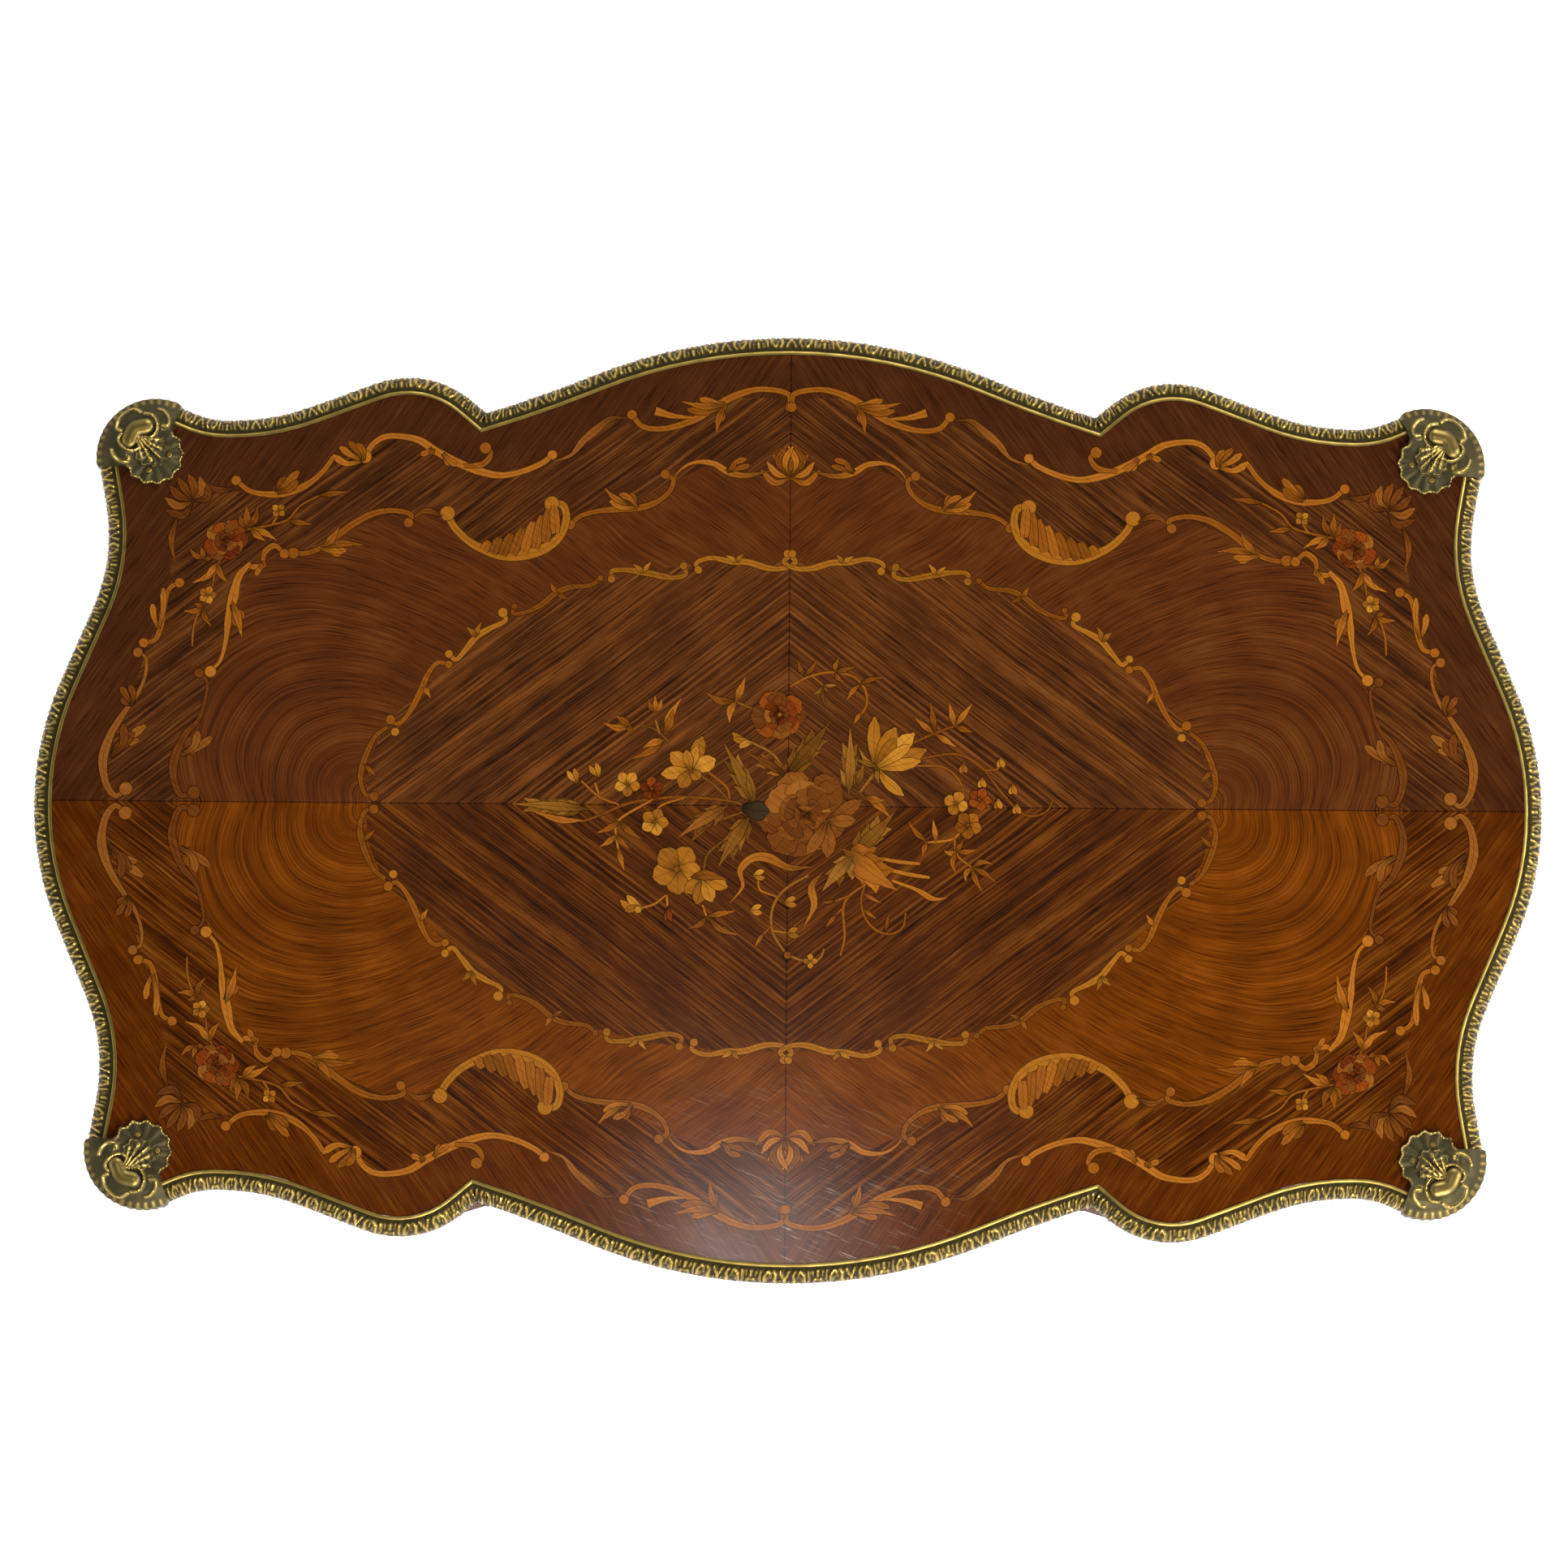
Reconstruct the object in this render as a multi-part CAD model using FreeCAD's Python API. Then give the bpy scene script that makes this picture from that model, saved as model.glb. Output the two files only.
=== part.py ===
import FreeCAD, Part
import math
import os

# Flat-topped writing desk: serpentine marquetry top with a gilt metal edge, cabriole legs, three drawers.
# Millimetres. The origin is on the floor under the middle of the top, +Z is up and the front faces -Y.

V = FreeCAD.Vector
UP = V(0, 0, 1)

# Veneered surface, one quarter: bow, notch, shoulder, sweep, corner, waist and end bow
BOW_X, BOW_Y, BOW_R = 86.0, 392.0, 430.0
RETURN_X, RETURN_Y, RETURN_R = 216.0, 338.0, 1100.0
NOTCH_X, NOTCH_Y = 268.0, 322.0
SHOULDER_X, SHOULDER_Y, SHOULDER_R = 318.0, 364.0, 67.0
SWEEP_X, SWEEP_Y, SWEEP_R = 447.0, 315.6, 217.0
FLARE_X, FLARE_R = 509.0, 95.0
CORNER_X, CORNER_Y, CORNER_R = 592.0, 354.0, 32.0
WAIST_X, WAIST_Y, WAIST_R = 566.5, 209.0, 170.0
END_X, END_Y, END_R = 633.0, 52.0, 250.0

# Heights
TOP_Z = 770.0               # veneered surface above the floor
VENEER = 1.0
CORE = 26.0
FRIEZE_H = 153.0            # aprons and leg posts, below the core

# Edges between the four veneered zones, one quarter each: (x, y, corner radius)
CENTRE_EDGE = [
    (51, 211, 200), (121, 204, 200), (202, 182, 200), (271, 145, 120),
    (311, 100, 100), (346, 70, 60), (362, 30, 50),
]
FIELD_EDGE = [
    (39, 286, 30), (67, 297, 20), (103, 280, 20), (148, 256, 40), (190, 243, 20),
    (232, 214, 40), (278, 226, 40), (301, 249, 15), (342, 252, 30), (430, 214, 40),
    (462, 208, 20), (484, 150, 80), (509, 66, 60), (528, 34, 40),
]
BAND_EDGE = [
    (51, 354, 30), (128, 325, 40), (153, 337, 20), (190, 302, 30), (262, 285, 60),
    (347, 320, 40), (396, 296, 30), (435, 266, 20), (526, 272, 20), (536, 185, 100),
    (570, 80, 80), (590, 27, 60),
]

# Metal edge moulding: a flat fillet, then an ovolo that falls to a small bottom bead
MOULD_OUT = 17.0            # how far it stands out from the veneer
MOULD_RISE = 1.0            # fillet above the veneer
FILLET_W = 5.0
FILLET_STEP = 1.5
OVOLO_BELLY = 0.74          # how full the ovolo is, 0.5 would be a straight slope
BEAD_H = 5.0
MOULD_FIT = 0.15            # gap between metal and wood

# Corner clasps: a skirt round the corner, a ribbed shell on the veneer and a kidney boss between them
SKIRT_PROUD = 1.5
SKIRT_RISE = 4.0
SHELL_R = 22.5
SHELL_SHIFT = 3.0           # shell centre, from the corner's centre outwards
SHELL_TOP = 8.0
SHELL_RIM = 2.6
LOBES = 9
LOBE_R = 4.6
LOBE_SPREAD = 23.0          # degrees between lobes
RIB_GROOVE = 1.1
BOSS_PATH_R = 27.0
BOSS_R = 5.6
BOSS_CROWN = [(1.0, 0.1), (0.86, 0.5), (0.5, 0.86), (0.0, 1.0)]     # half section in parts of BOSS_R
BOSS_HALF_ANGLE = 36.0
CLASP_SCREW_R = 1.5
CLASP_SCREW_HEAD_R = 2.6
CLASP_SCREW_HEAD_H = 1.2
CLASP_SCREW_LONG = 14.0
CLASP_SCREW_ANGLE = 46.0    # each side of the clasp's middle line
CLASP_SCREW_AT = 15.0       # from the shell's centre
SCREW_FIT = 0.1

# Legs: a square post in the frieze and a cabriole shaft below it
POST = 64.0
POST_ROUND = 6.0
POST_IN_X = 52.0            # post centre, in from the veneer's corner point
POST_IN_Y = 66.0
SOLE = 5.0
FOOT_SHIFT, FOOT_SIDE = 2.0, 44.0
SHAFT = [                   # (part of the knee's height, shift outwards on both axes, side of the square)
    (1.0, 0.0, POST), (0.95, 6.0, 66.0), (0.87, 8.0, 61.0), (0.75, 0.0, 50.0), (0.56, -12.0, 40.0),
    (0.34, -22.0, 33.0), (0.19, -24.0, 30.0), (0.1, -16.0, 32.0), (0.042, -4.0, 40.0),
]
SHAFT_CHAMFER = 0.12        # chamfered corners as a part of the section's side
MOUNT_FIT = 0.3
MOUNT_WALL = 2.4
KNEE_MOUNT = [              # shield across the leg's outer corner: (half width, above the knee, radius)
    (9.0, 126.0, 6), (25.0, 110.0, 8), (18.0, 65.0, 14), (24.0, 22.0, 20),
    (16.0, -34.0, 20), (10.0, -70.0, 12), (3.0, -120.0, 2.5),
]
SABOT_LOW, SABOT_HIGH = 58.0, 126.0

# Frieze: the drawer fronts and aprons run under the top without its notch
FRIEZE_IN = 4.0
FRIEZE_WALL = 22.0
FRIEZE_BOW_R = 350.0
DIP_X, DIP_Y, DIP_R = 240.0, 338.0, 60.0
FRONT_SHOULDER_X, FRONT_SHOULDER_Y, FRONT_SHOULDER_R = 312.0, 360.0, 90.0
FRONT_SWEEP_X, FRONT_SWEEP_R = 440.0, 120.0
RAIL_SET = 3.0              # rails and dividers behind the drawer fronts
RAIL_DEEP = 46.0
UPPER_RAIL = 16.0
LOWER_RAIL = 18.0
SIDE_DRAWER_H = 110.0
CENTRE_DRAWER_H = 78.0
DIVIDER_X = 272.0
DIVIDER = 22.0
TENON, TENON_LONG, TENON_SHOULDER, TENON_FIT = 10.0, 24.0, 16.0, 0.1
APRON_ARCH = 22.0
APRON_FOOT = 34.0           # straight part of the apron's lower edge beside each leg
ARCH_R = 60.0

# Drawers
DRAWER_GAP = 1.5
RUN_GAP = 0.3
DRAWER_LONG_TO = 180.0      # y of the drawer's back
SIDE_T = 10.0
BOTTOM_T = 7.0
BOTTOM_UP = 8.0
GROOVE = 5.0
WOOD_FIT = 0.1
SIDE_DROP = 14.0            # drawer sides below the top of the front
TAILS = 3
TAIL_LONG = 13.0
TAIL_SPREAD = 3.0
RUNNER_W, RUNNER_H = 22.0, 12.0

# Locks
LOCK_W, LOCK_H, LOCK_T = 60.0, 42.0, 12.0
BOLT_W, BOLT_H, BOLT_T = 24.0, 26.0, 4.6
BOLT_TRAVEL = 8.0
BOLT_FIT = 0.2
BOLT_SUNK = 0.5
STRIKE_FIT = 2.0
KEYHOLE_R, KEY_SLOT_W, KEY_SLOT_H = 2.6, 2.4, 8.0

# Escutcheons: each drawer is drawn out by its key
ESCUTCHEON = [              # cartouche outline: (half width, height, radius)
    (5.0, 19.0, 4), (11.0, 10.0, 5), (8.0, 1.0, 5), (13.0, -9.0, 6), (3.0, -20.0, 2.5),
]
ESCUTCHEON_T = 2.5
FALSE_FRONT_T = 4.0
SIDE_KEY_UP = 30.0          # side drawer's escutcheon above the middle of its front
CENTRE_KEY_UP = 9.0

# Screws that hold the top to the upper rails
TOP_SCREW_R, TOP_SCREW_HEAD_R, TOP_SCREW_HEAD_H, TOP_SCREW_LONG = 2.5, 5.0, 3.0, 30.0
TOP_SCREW_X = [110.0, 390.0]

# Levels worked out from the sizes above
CORE_TOP = TOP_Z - VENEER
CORE_Z = CORE_TOP - CORE
KNEE_Z = CORE_Z - FRIEZE_H
OPEN_TOP = CORE_Z - UPPER_RAIL
SIDE_OPEN = OPEN_TOP - SIDE_DRAWER_H
CENTRE_OPEN = OPEN_TOP - CENTRE_DRAWER_H
POST_X = CORNER_X - POST_IN_X
POST_Y = CORNER_Y - POST_IN_Y
POST_SIDE_X = POST_X - POST / 2
POST_SIDE_Y = POST_Y - POST / 2
FAR = 2000.0                # reach of the tools that cut


# Outlines

def full_loop(quarter):
    """Mirror one quarter outline into a closed loop, clockwise seen from above."""
    back = quarter[::-1]
    right_front = [(x, -y, r) for x, y, r in back]
    left_front = [(-x, -y, r) for x, y, r in quarter]
    left_back = [(-x, y, r) for x, y, r in back]
    return quarter + right_front + left_front + left_back


def heading(a, b):
    """Unit vector from one corner to the next."""
    return (V(b[0], b[1], 0) - V(a[0], a[1], 0)).normalize()


def turn(before, after):
    """Signed turn between two headings, positive to the left."""
    return math.atan2(before.x * after.y - before.y * after.x, before.dot(after))


def offset_loop(loop, d):
    """Move every side of a clockwise loop outwards by d; round corners keep their centres."""
    moved = []
    count = len(loop)
    for i, (x, y, r) in enumerate(loop):
        before = heading(loop[i - 1], loop[i])
        after = heading(loop[i], loop[(i + 1) % count])
        bend = turn(before, after)
        reach = d * math.tan(bend / 2)
        x += -before.y * d - before.x * reach
        y += before.x * d - before.y * reach
        radius = max(r - d * math.copysign(1, bend), 0.5) if r else 0
        moved.append((x, y, radius))
    return moved


def tangents(path, closed):
    """Length that each rounded corner takes from its two sides, limited where a side is too short."""
    count = len(path)
    lengths = []
    for i in range(count):
        if not closed and i in (0, count - 1):
            lengths.append(0.0)
            continue
        bend = turn(heading(path[i - 1], path[i]), heading(path[i], path[(i + 1) % count]))
        lengths.append(path[i][2] * math.tan(abs(bend) / 2))
    shares = list(lengths)
    for i in range(count if closed else count - 1):
        j = (i + 1) % count
        side = math.hypot(path[j][0] - path[i][0], path[j][1] - path[i][1])
        need = lengths[i] + lengths[j]
        if need > side:
            shares[i] = min(shares[i], lengths[i] * side / need)
            shares[j] = min(shares[j], lengths[j] * side / need)
    return shares


def rounded(path, closed=True, z=0.0):
    """Wire of straight sides and tangent arcs through the corners (x, y, radius)."""
    count = len(path)
    take = tangents(path, closed)
    ends = []
    for i in range(count):
        p = V(path[i][0], path[i][1], z)
        if take[i] < 1e-6:
            ends.append((p, None, p))
            continue
        before = heading(path[i - 1], path[i])
        after = heading(path[i], path[(i + 1) % count])
        half = abs(turn(before, after)) / 2
        radius = take[i] / math.tan(half)
        middle = p + (after - before).normalize() * (radius / math.cos(half) - radius)
        ends.append((p - before * take[i], middle, p + after * take[i]))
    edges = []
    for i in range(count):
        first, middle, last = ends[i]
        if middle is not None:
            edges.append(Part.Arc(first, middle, last).toShape())
        following = ends[(i + 1) % count][0]
        if (closed or i < count - 1) and last.distanceToPoint(following) > 1e-4:
            edges.append(Part.LineSegment(last, following).toShape())
    return Part.Wire(edges)


def slab(loop, low, high):
    """Solid plate with the outline of a loop."""
    return Part.Face(rounded(loop, z=low)).extrude(UP * (high - low))


def band(loop, outer, inner, low, high):
    """Wall between two offsets of a loop."""
    return slab(offset_loop(loop, outer), low, high).cut(slab(offset_loop(loop, inner), low, high))


def block(x0, x1, y0, y1, z0, z1):
    """Box between two corners."""
    return Part.makeBox(x1 - x0, y1 - y0, z1 - z0, V(x0, y0, z0))


def mirror_x(shape):
    return shape.mirror(V(0, 0, 0), V(1, 0, 0))


def mirror_y(shape):
    return shape.mirror(V(0, 0, 0), V(0, 1, 0))


def four_corners(shape):
    """The back right corner's piece, mirrored to all four corners."""
    front_right = mirror_y(shape)
    return {
        "back_right": shape,
        "back_left": mirror_x(shape),
        "front_right": front_right,
        "front_left": mirror_x(front_right),
    }


TOP_LOOP = full_loop([
    (BOW_X, BOW_Y, BOW_R),
    (RETURN_X, RETURN_Y, RETURN_R),
    (NOTCH_X, NOTCH_Y, 0),
    (SHOULDER_X, SHOULDER_Y, SHOULDER_R),
    (SWEEP_X, SWEEP_Y, SWEEP_R),
    (FLARE_X, SWEEP_Y, FLARE_R),
    (CORNER_X, CORNER_Y, CORNER_R),
    (WAIST_X, WAIST_Y, WAIST_R),
    (END_X, END_Y, END_R),
])
FRIEZE_LOOP = full_loop([
    (BOW_X, BOW_Y - FRIEZE_IN, FRIEZE_BOW_R),
    (DIP_X, DIP_Y, DIP_R),
    (FRONT_SHOULDER_X, FRONT_SHOULDER_Y, FRONT_SHOULDER_R),
    (FRONT_SWEEP_X, SWEEP_Y, FRONT_SWEEP_R),
    (POST_X + POST / 2, SWEEP_Y, POST_ROUND),
    (WAIST_X, WAIST_Y, WAIST_R),
    (END_X - FRIEZE_IN, END_Y, END_R),
])


# Top

def veneers():
    """Four veneered zones, each cut out for the next one."""
    border = slab(offset_loop(TOP_LOOP, 0), CORE_TOP, TOP_Z)
    outer_band = slab(full_loop(BAND_EDGE), CORE_TOP, TOP_Z)
    field = slab(full_loop(FIELD_EDGE), CORE_TOP, TOP_Z)
    centre = slab(full_loop(CENTRE_EDGE), CORE_TOP, TOP_Z)
    return border.cut(outer_band), outer_band.cut(field), field.cut(centre), centre


def moulding_section(proud=0.0, rise=0.0):
    """Section of the metal edge as (distance out from the veneer, height) corners and the ovolo's middle."""
    out = MOULD_OUT + proud
    top = TOP_Z + MOULD_RISE + rise
    step = top - FILLET_STEP
    foot = CORE_Z + BEAD_H
    belly = (FILLET_W + (out - FILLET_W) * OVOLO_BELLY, foot + (step - foot) * OVOLO_BELLY)
    return [
        (MOULD_FIT, CORE_Z), (MOULD_FIT, top), (FILLET_W, top), (FILLET_W, step),
        belly, (out, foot), (out, CORE_Z),
    ]


def section_face(origin, outward, section):
    """Stand the moulding section up at a point, facing outwards."""
    points = [origin + outward * u + UP * z for u, z in section]
    edges = [Part.LineSegment(points[i], points[i + 1]).toShape() for i in range(3)]
    edges.append(Part.Arc(points[3], points[4], points[5]).toShape())
    edges.append(Part.LineSegment(points[5], points[6]).toShape())
    edges.append(Part.LineSegment(points[6], points[0]).toShape())
    return Part.Wire(edges)


def moulding_run(path):
    """Sweep the section along an open path of the outline, outwards on its left."""
    start = heading(path[0], path[1])
    outward = V(-start.y, start.x, 0)
    profile = section_face(V(path[0][0], path[0][1], 0), outward, moulding_section())
    return rounded(path, closed=False).makePipeShell([profile], True, False)


def corner_arc():
    """Start, end and centre of the rounded corner under the back right clasp."""
    at = [i for i, p in enumerate(TOP_LOOP) if p[:2] == (CORNER_X, CORNER_Y)][0]
    before = heading(TOP_LOOP[at - 1], TOP_LOOP[at])
    after = heading(TOP_LOOP[at], TOP_LOOP[at + 1])
    take = tangents(TOP_LOOP, True)[at]
    p = V(CORNER_X, CORNER_Y, 0)
    radius = take / math.tan(abs(turn(before, after)) / 2)
    first = p - before * take
    return first, p + after * take, first + V(before.y, -before.x, 0) * radius


def mitre_side(keep_left):
    """Half of space on one side of the mitre plane through the back right notch."""
    notch = V(NOTCH_X, NOTCH_Y, 0)
    before = heading((RETURN_X, RETURN_Y), (NOTCH_X, NOTCH_Y))
    after = heading((NOTCH_X, NOTCH_Y), (SHOULDER_X, SHOULDER_Y))
    mitre = V(-before.y - after.y, before.x + after.x, 0).normalize()
    across = V(-mitre.y, mitre.x, 0) * (FAR if keep_left else -FAR)
    near, far = notch - mitre * FAR, notch + mitre * FAR
    return Part.Face(Part.makePolygon([near, far, far + across, near + across, near])).extrude(UP * FAR)


def long_side_mouldings():
    """Three mitred lengths along the back: the bow and the two swept shoulders."""
    first = corner_arc()[0]
    spare = MOULD_OUT * 3
    before = heading((RETURN_X, RETURN_Y), (NOTCH_X, NOTCH_Y))
    after = heading((NOTCH_X, NOTCH_Y), (SHOULDER_X, SHOULDER_Y))
    past = V(NOTCH_X, NOTCH_Y, 0) + before * spare
    early = V(NOTCH_X, NOTCH_Y, 0) - after * spare
    half = [(BOW_X, BOW_Y, BOW_R), (RETURN_X, RETURN_Y, RETURN_R), (past.x, past.y, 0)]
    bow = moulding_run([(-x, y, r) for x, y, r in half[::-1]] + half)
    bow = bow.common(mitre_side(True)).common(mirror_x(mitre_side(True)))
    swept = moulding_run([
        (early.x, early.y, 0), (SHOULDER_X, SHOULDER_Y, SHOULDER_R), (SWEEP_X, SWEEP_Y, SWEEP_R),
        (FLARE_X, SWEEP_Y, FLARE_R), (first.x, first.y, 0),
    ]).common(mitre_side(False))
    return Part.Compound([bow.Solids[0], swept.Solids[0], mirror_x(swept).Solids[0]])


def short_side_moulding():
    """One length round the right end, between the two clasps."""
    last = corner_arc()[1]
    half = [(last.x, last.y, 0), (WAIST_X, WAIST_Y, WAIST_R), (END_X, END_Y, END_R)]
    return moulding_run(half + [(x, -y, r) for x, y, r in half[::-1]])


def corner_clasp():
    """Back right clasp: skirt revolved round the corner, domed lobed shell with ribs, kidney boss."""
    first, last, centre = corner_arc()
    start = math.degrees(math.atan2(last.y - centre.y, last.x - centre.x))
    sweep = math.degrees(math.atan2(first.y - centre.y, first.x - centre.x)) - start
    middle = start + sweep / 2
    outward = V(math.cos(math.radians(middle)), math.sin(math.radians(middle)), 0)
    begin = (last - centre).normalize()
    profile = section_face(last, begin, moulding_section(SKIRT_PROUD, SKIRT_RISE))
    skirt = Part.Face(profile).revolve(centre, UP, sweep)

    hub = centre + outward * SHELL_SHIFT
    plate = Part.makeCylinder(SHELL_R, SHELL_TOP, hub + UP * TOP_Z)
    fall = (SHELL_TOP - SHELL_RIM) / SHELL_R
    slope = Part.makeCone(SHELL_TOP / fall + LOBE_R, LOBE_R, SHELL_TOP, hub + UP * TOP_Z)
    lobes = []
    grooves = []
    for i in range(LOBES):
        angle = math.radians(middle + 180 + (i - (LOBES - 1) / 2) * LOBE_SPREAD)
        ray = V(math.cos(angle), math.sin(angle), 0)
        lobes.append(Part.makeCylinder(LOBE_R, SHELL_TOP, hub + ray * SHELL_R + UP * TOP_Z))
    for i in range(LOBES - 1):
        angle = math.radians(middle + 180 + (i + 1 - LOBES / 2) * LOBE_SPREAD)
        ray = V(math.cos(angle), math.sin(angle), 0)
        start = hub + ray * LOBE_R * 2 + UP * (TOP_Z + SHELL_TOP - fall * LOBE_R)
        deep = UP * RIB_GROOVE
        across = UP.cross(ray) * RIB_GROOVE * 2
        vee = [start - deep, start + across + deep, start - across + deep, start - deep]
        grooves.append(Part.Face(Part.makePolygon(vee)).extrude((ray - UP * fall) * SHELL_R))
    shell = plate.multiFuse(lobes).common(slope).cut(Part.Compound(grooves))
    return skirt.fuse(shell).fuse(kidney_boss(centre, middle)).removeSplitter(), hub, middle


def kidney_boss(centre, middle):
    """Curved bar over the skirt, with ends turned from the same section."""
    level = centre + UP * (TOP_Z + SKIRT_RISE)
    half = [V(0, 0, -SKIRT_RISE), V(BOSS_R, 0, -SKIRT_RISE)]
    half += [V(out * BOSS_R, 0, up * BOSS_R) for out, up in BOSS_CROWN]
    whole = half + [V(-p.x, 0, p.z) for p in half[::-1]]
    bar = Part.Face(Part.makePolygon(whole + whole[:1]))
    bar.translate(V(BOSS_PATH_R, 0, 0))
    bar = bar.revolve(V(0, 0, 0), UP, 2 * BOSS_HALF_ANGLE)
    bar.rotate(V(0, 0, 0), UP, middle - BOSS_HALF_ANGLE)
    for side in (-1, 1):
        end = Part.Face(Part.makePolygon(half + half[:1])).revolve(V(0, 0, 0), UP, 180 * side)
        end.translate(V(BOSS_PATH_R, 0, 0))
        end.rotate(V(0, 0, 0), UP, middle + side * BOSS_HALF_ANGLE)
        bar = bar.fuse(end)
    bar.translate(level)
    return bar


def clasp_screw_spots(hub, middle):
    """Two places on the shell where screws hold the clasp down."""
    spots = []
    for side in (-1, 1):
        angle = math.radians(middle + 180 + side * CLASP_SCREW_ANGLE)
        spots.append(hub + V(math.cos(angle), math.sin(angle), 0) * CLASP_SCREW_AT)
    return spots


def screw(seat, into, radius, head_radius, head_height, long):
    """Screw in its hole: shank into the wood from its seat, low head on the other side."""
    shank = Part.makeCylinder(radius, long, seat, into)
    head = Part.makeCone(head_radius, radius, head_height, seat, into * -1)
    return shank.fuse(head).removeSplitter()


# Legs

def leg_section(shift, side, z, grow=0.0):
    """Square with chamfered corners round the leg's middle, its sides moved out by grow."""
    half = side / 2 + grow
    flat = half - side * SHAFT_CHAMFER - grow * (2 - math.sqrt(2))
    right = [(half, -flat), (half, flat), (flat, half), (-flat, half)]
    corners = right + [(-x, -y) for x, y in right]
    points = [V(POST_X + shift + x, POST_Y + shift + y, z) for x, y in corners]
    return Part.makePolygon(points + points[:1])


def leg_form(grow=0.0):
    """Back right leg with its surface moved out by grow: straight post, then the cabriole shaft."""
    wires = [leg_section(shift, side, part * KNEE_Z, grow) for part, shift, side in SHAFT]
    wires.append(leg_section(FOOT_SHIFT, FOOT_SIDE, SOLE, grow))
    shaft = Part.makeLoft(wires, True)
    post = Part.Face(wires[0]).extrude(UP * (CORE_Z - KNEE_Z))
    return post.fuse(shaft)


def across_leg(outline, reach_in, reach_out):
    """Prism through the leg along its diagonal, with an outline of (across, height, radius)."""
    wire = rounded(outline)
    wire.rotate(V(0, 0, 0), V(1, 0, 0), 90)
    wire.rotate(V(0, 0, 0), UP, -45)
    diagonal = V(1, 1, 0).normalize()
    wire.translate(V(POST_X, POST_Y, 0) - diagonal * reach_in)
    return Part.Face(wire).extrude(diagonal * (reach_in + reach_out))


def knee_mount():
    """Thin cast shield that wraps the outer corner of the post and knee."""
    wall = leg_form(MOUNT_FIT + MOUNT_WALL).cut(leg_form(MOUNT_FIT))
    half = [(x, KNEE_Z + up, r) for x, up, r in KNEE_MOUNT]
    outline = half + [(-x, z, r) for x, z, r in half[::-1]]
    return wall.common(across_leg(outline, 0, FAR)).Solids[0]


def sabot():
    """Cast shoe: a cup round the foot whose rim climbs towards the outer corner."""
    cup = leg_form(MOUNT_FIT + MOUNT_WALL).cut(leg_form(MOUNT_FIT))
    sole = Part.Face(leg_section(FOOT_SHIFT, FOOT_SIDE, 0, MOUNT_FIT + MOUNT_WALL)).extrude(UP * SOLE)
    wedge = Part.makePolygon([
        V(-POST, 0, 0), V(-POST, 0, SABOT_LOW), V(POST, 0, SABOT_HIGH), V(POST, 0, 0), V(-POST, 0, 0)])
    wedge = Part.Face(wedge).extrude(V(0, 2 * POST, 0))
    wedge.translate(V(0, -POST, 0))
    wedge.rotate(V(0, 0, 0), UP, 45)
    wedge.translate(V(POST_X, POST_Y, 0))
    return cup.common(wedge).fuse(sole).removeSplitter()


# Frame

def arch_through(axis, spans, low, rise):
    """Round-cornered tunnels that hollow the lower edge of an apron, one for each (from, to)."""
    tools = []
    for start, end in spans:
        outline = [(start, low - rise, 0), (start, low + rise, ARCH_R / 3), (end, low + rise, ARCH_R / 3),
                   (end, low - rise, 0)]
        wire = rounded(outline)
        wire.rotate(V(0, 0, 0), V(1, 0, 0), 90)
        wire.translate(V(0, FAR / 2, 0))
        tool = Part.Face(wire).extrude(V(0, -FAR, 0))
        if axis == "x":
            tool.rotate(V(0, 0, 0), UP, 90)
        tools.append(tool)
    return Part.Compound(tools)


def end_tenon(fit=0.0):
    """Tenon of the right apron in the back post."""
    middle = POST_X + POST / 2 - FRIEZE_WALL / 2 - TENON / 2
    half = TENON / 2 + fit
    return block(middle - half, middle + half, POST_SIDE_Y, POST_SIDE_Y + TENON_LONG + fit,
                 KNEE_Z + TENON_SHOULDER - fit, CORE_Z - TENON_SHOULDER + fit)


def long_tenon(low, high, fit=0.0):
    """Tenon of a back or front member in the post, given for the back right post."""
    middle = SWEEP_Y - FALSE_FRONT_T - FRIEZE_WALL / 2
    half = TENON / 2 + fit
    end = POST_SIDE_X + TENON_LONG + fit
    return block(POST_SIDE_X, end, middle - half, middle + half, low - fit, high + fit)


def back_tenon(fit=0.0):
    return long_tenon(KNEE_Z + TENON_SHOULDER, CORE_Z - TENON_SHOULDER, fit)


def upper_rail_tenon(fit=0.0):
    return long_tenon(OPEN_TOP + UPPER_RAIL / 4, CORE_Z - UPPER_RAIL / 4, fit)


def lower_rail_tenon(fit=0.0):
    return long_tenon(SIDE_OPEN - LOWER_RAIL / 2, SIDE_OPEN - LOWER_RAIL / 4, fit)


def legs():
    """Four legs with the mortises that their own corner needs."""
    blank = leg_form().cut(end_tenon(TENON_FIT))
    back = blank.cut(back_tenon(TENON_FIT))
    front = blank.cut(upper_rail_tenon(TENON_FIT)).cut(lower_rail_tenon(TENON_FIT))
    made = {}
    for name, leg in four_corners(back).items():
        made[name] = leg
    for name, leg in four_corners(front).items():
        if name.startswith("front"):
            made[name] = leg
    return made


def end_apron():
    """Right apron: serpentine board with an arched lower edge and a tenon at each end."""
    board = band(FRIEZE_LOOP, 0, -FRIEZE_WALL, KNEE_Z, CORE_Z)
    board = board.common(block(0, FAR, -POST_SIDE_Y, POST_SIDE_Y, KNEE_Z, CORE_Z))
    reach = POST_SIDE_Y - APRON_FOOT
    board = board.cut(arch_through("x", [(-reach, reach)], KNEE_Z, APRON_ARCH))
    return board.fuse(end_tenon()).fuse(mirror_y(end_tenon())).removeSplitter()


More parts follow.
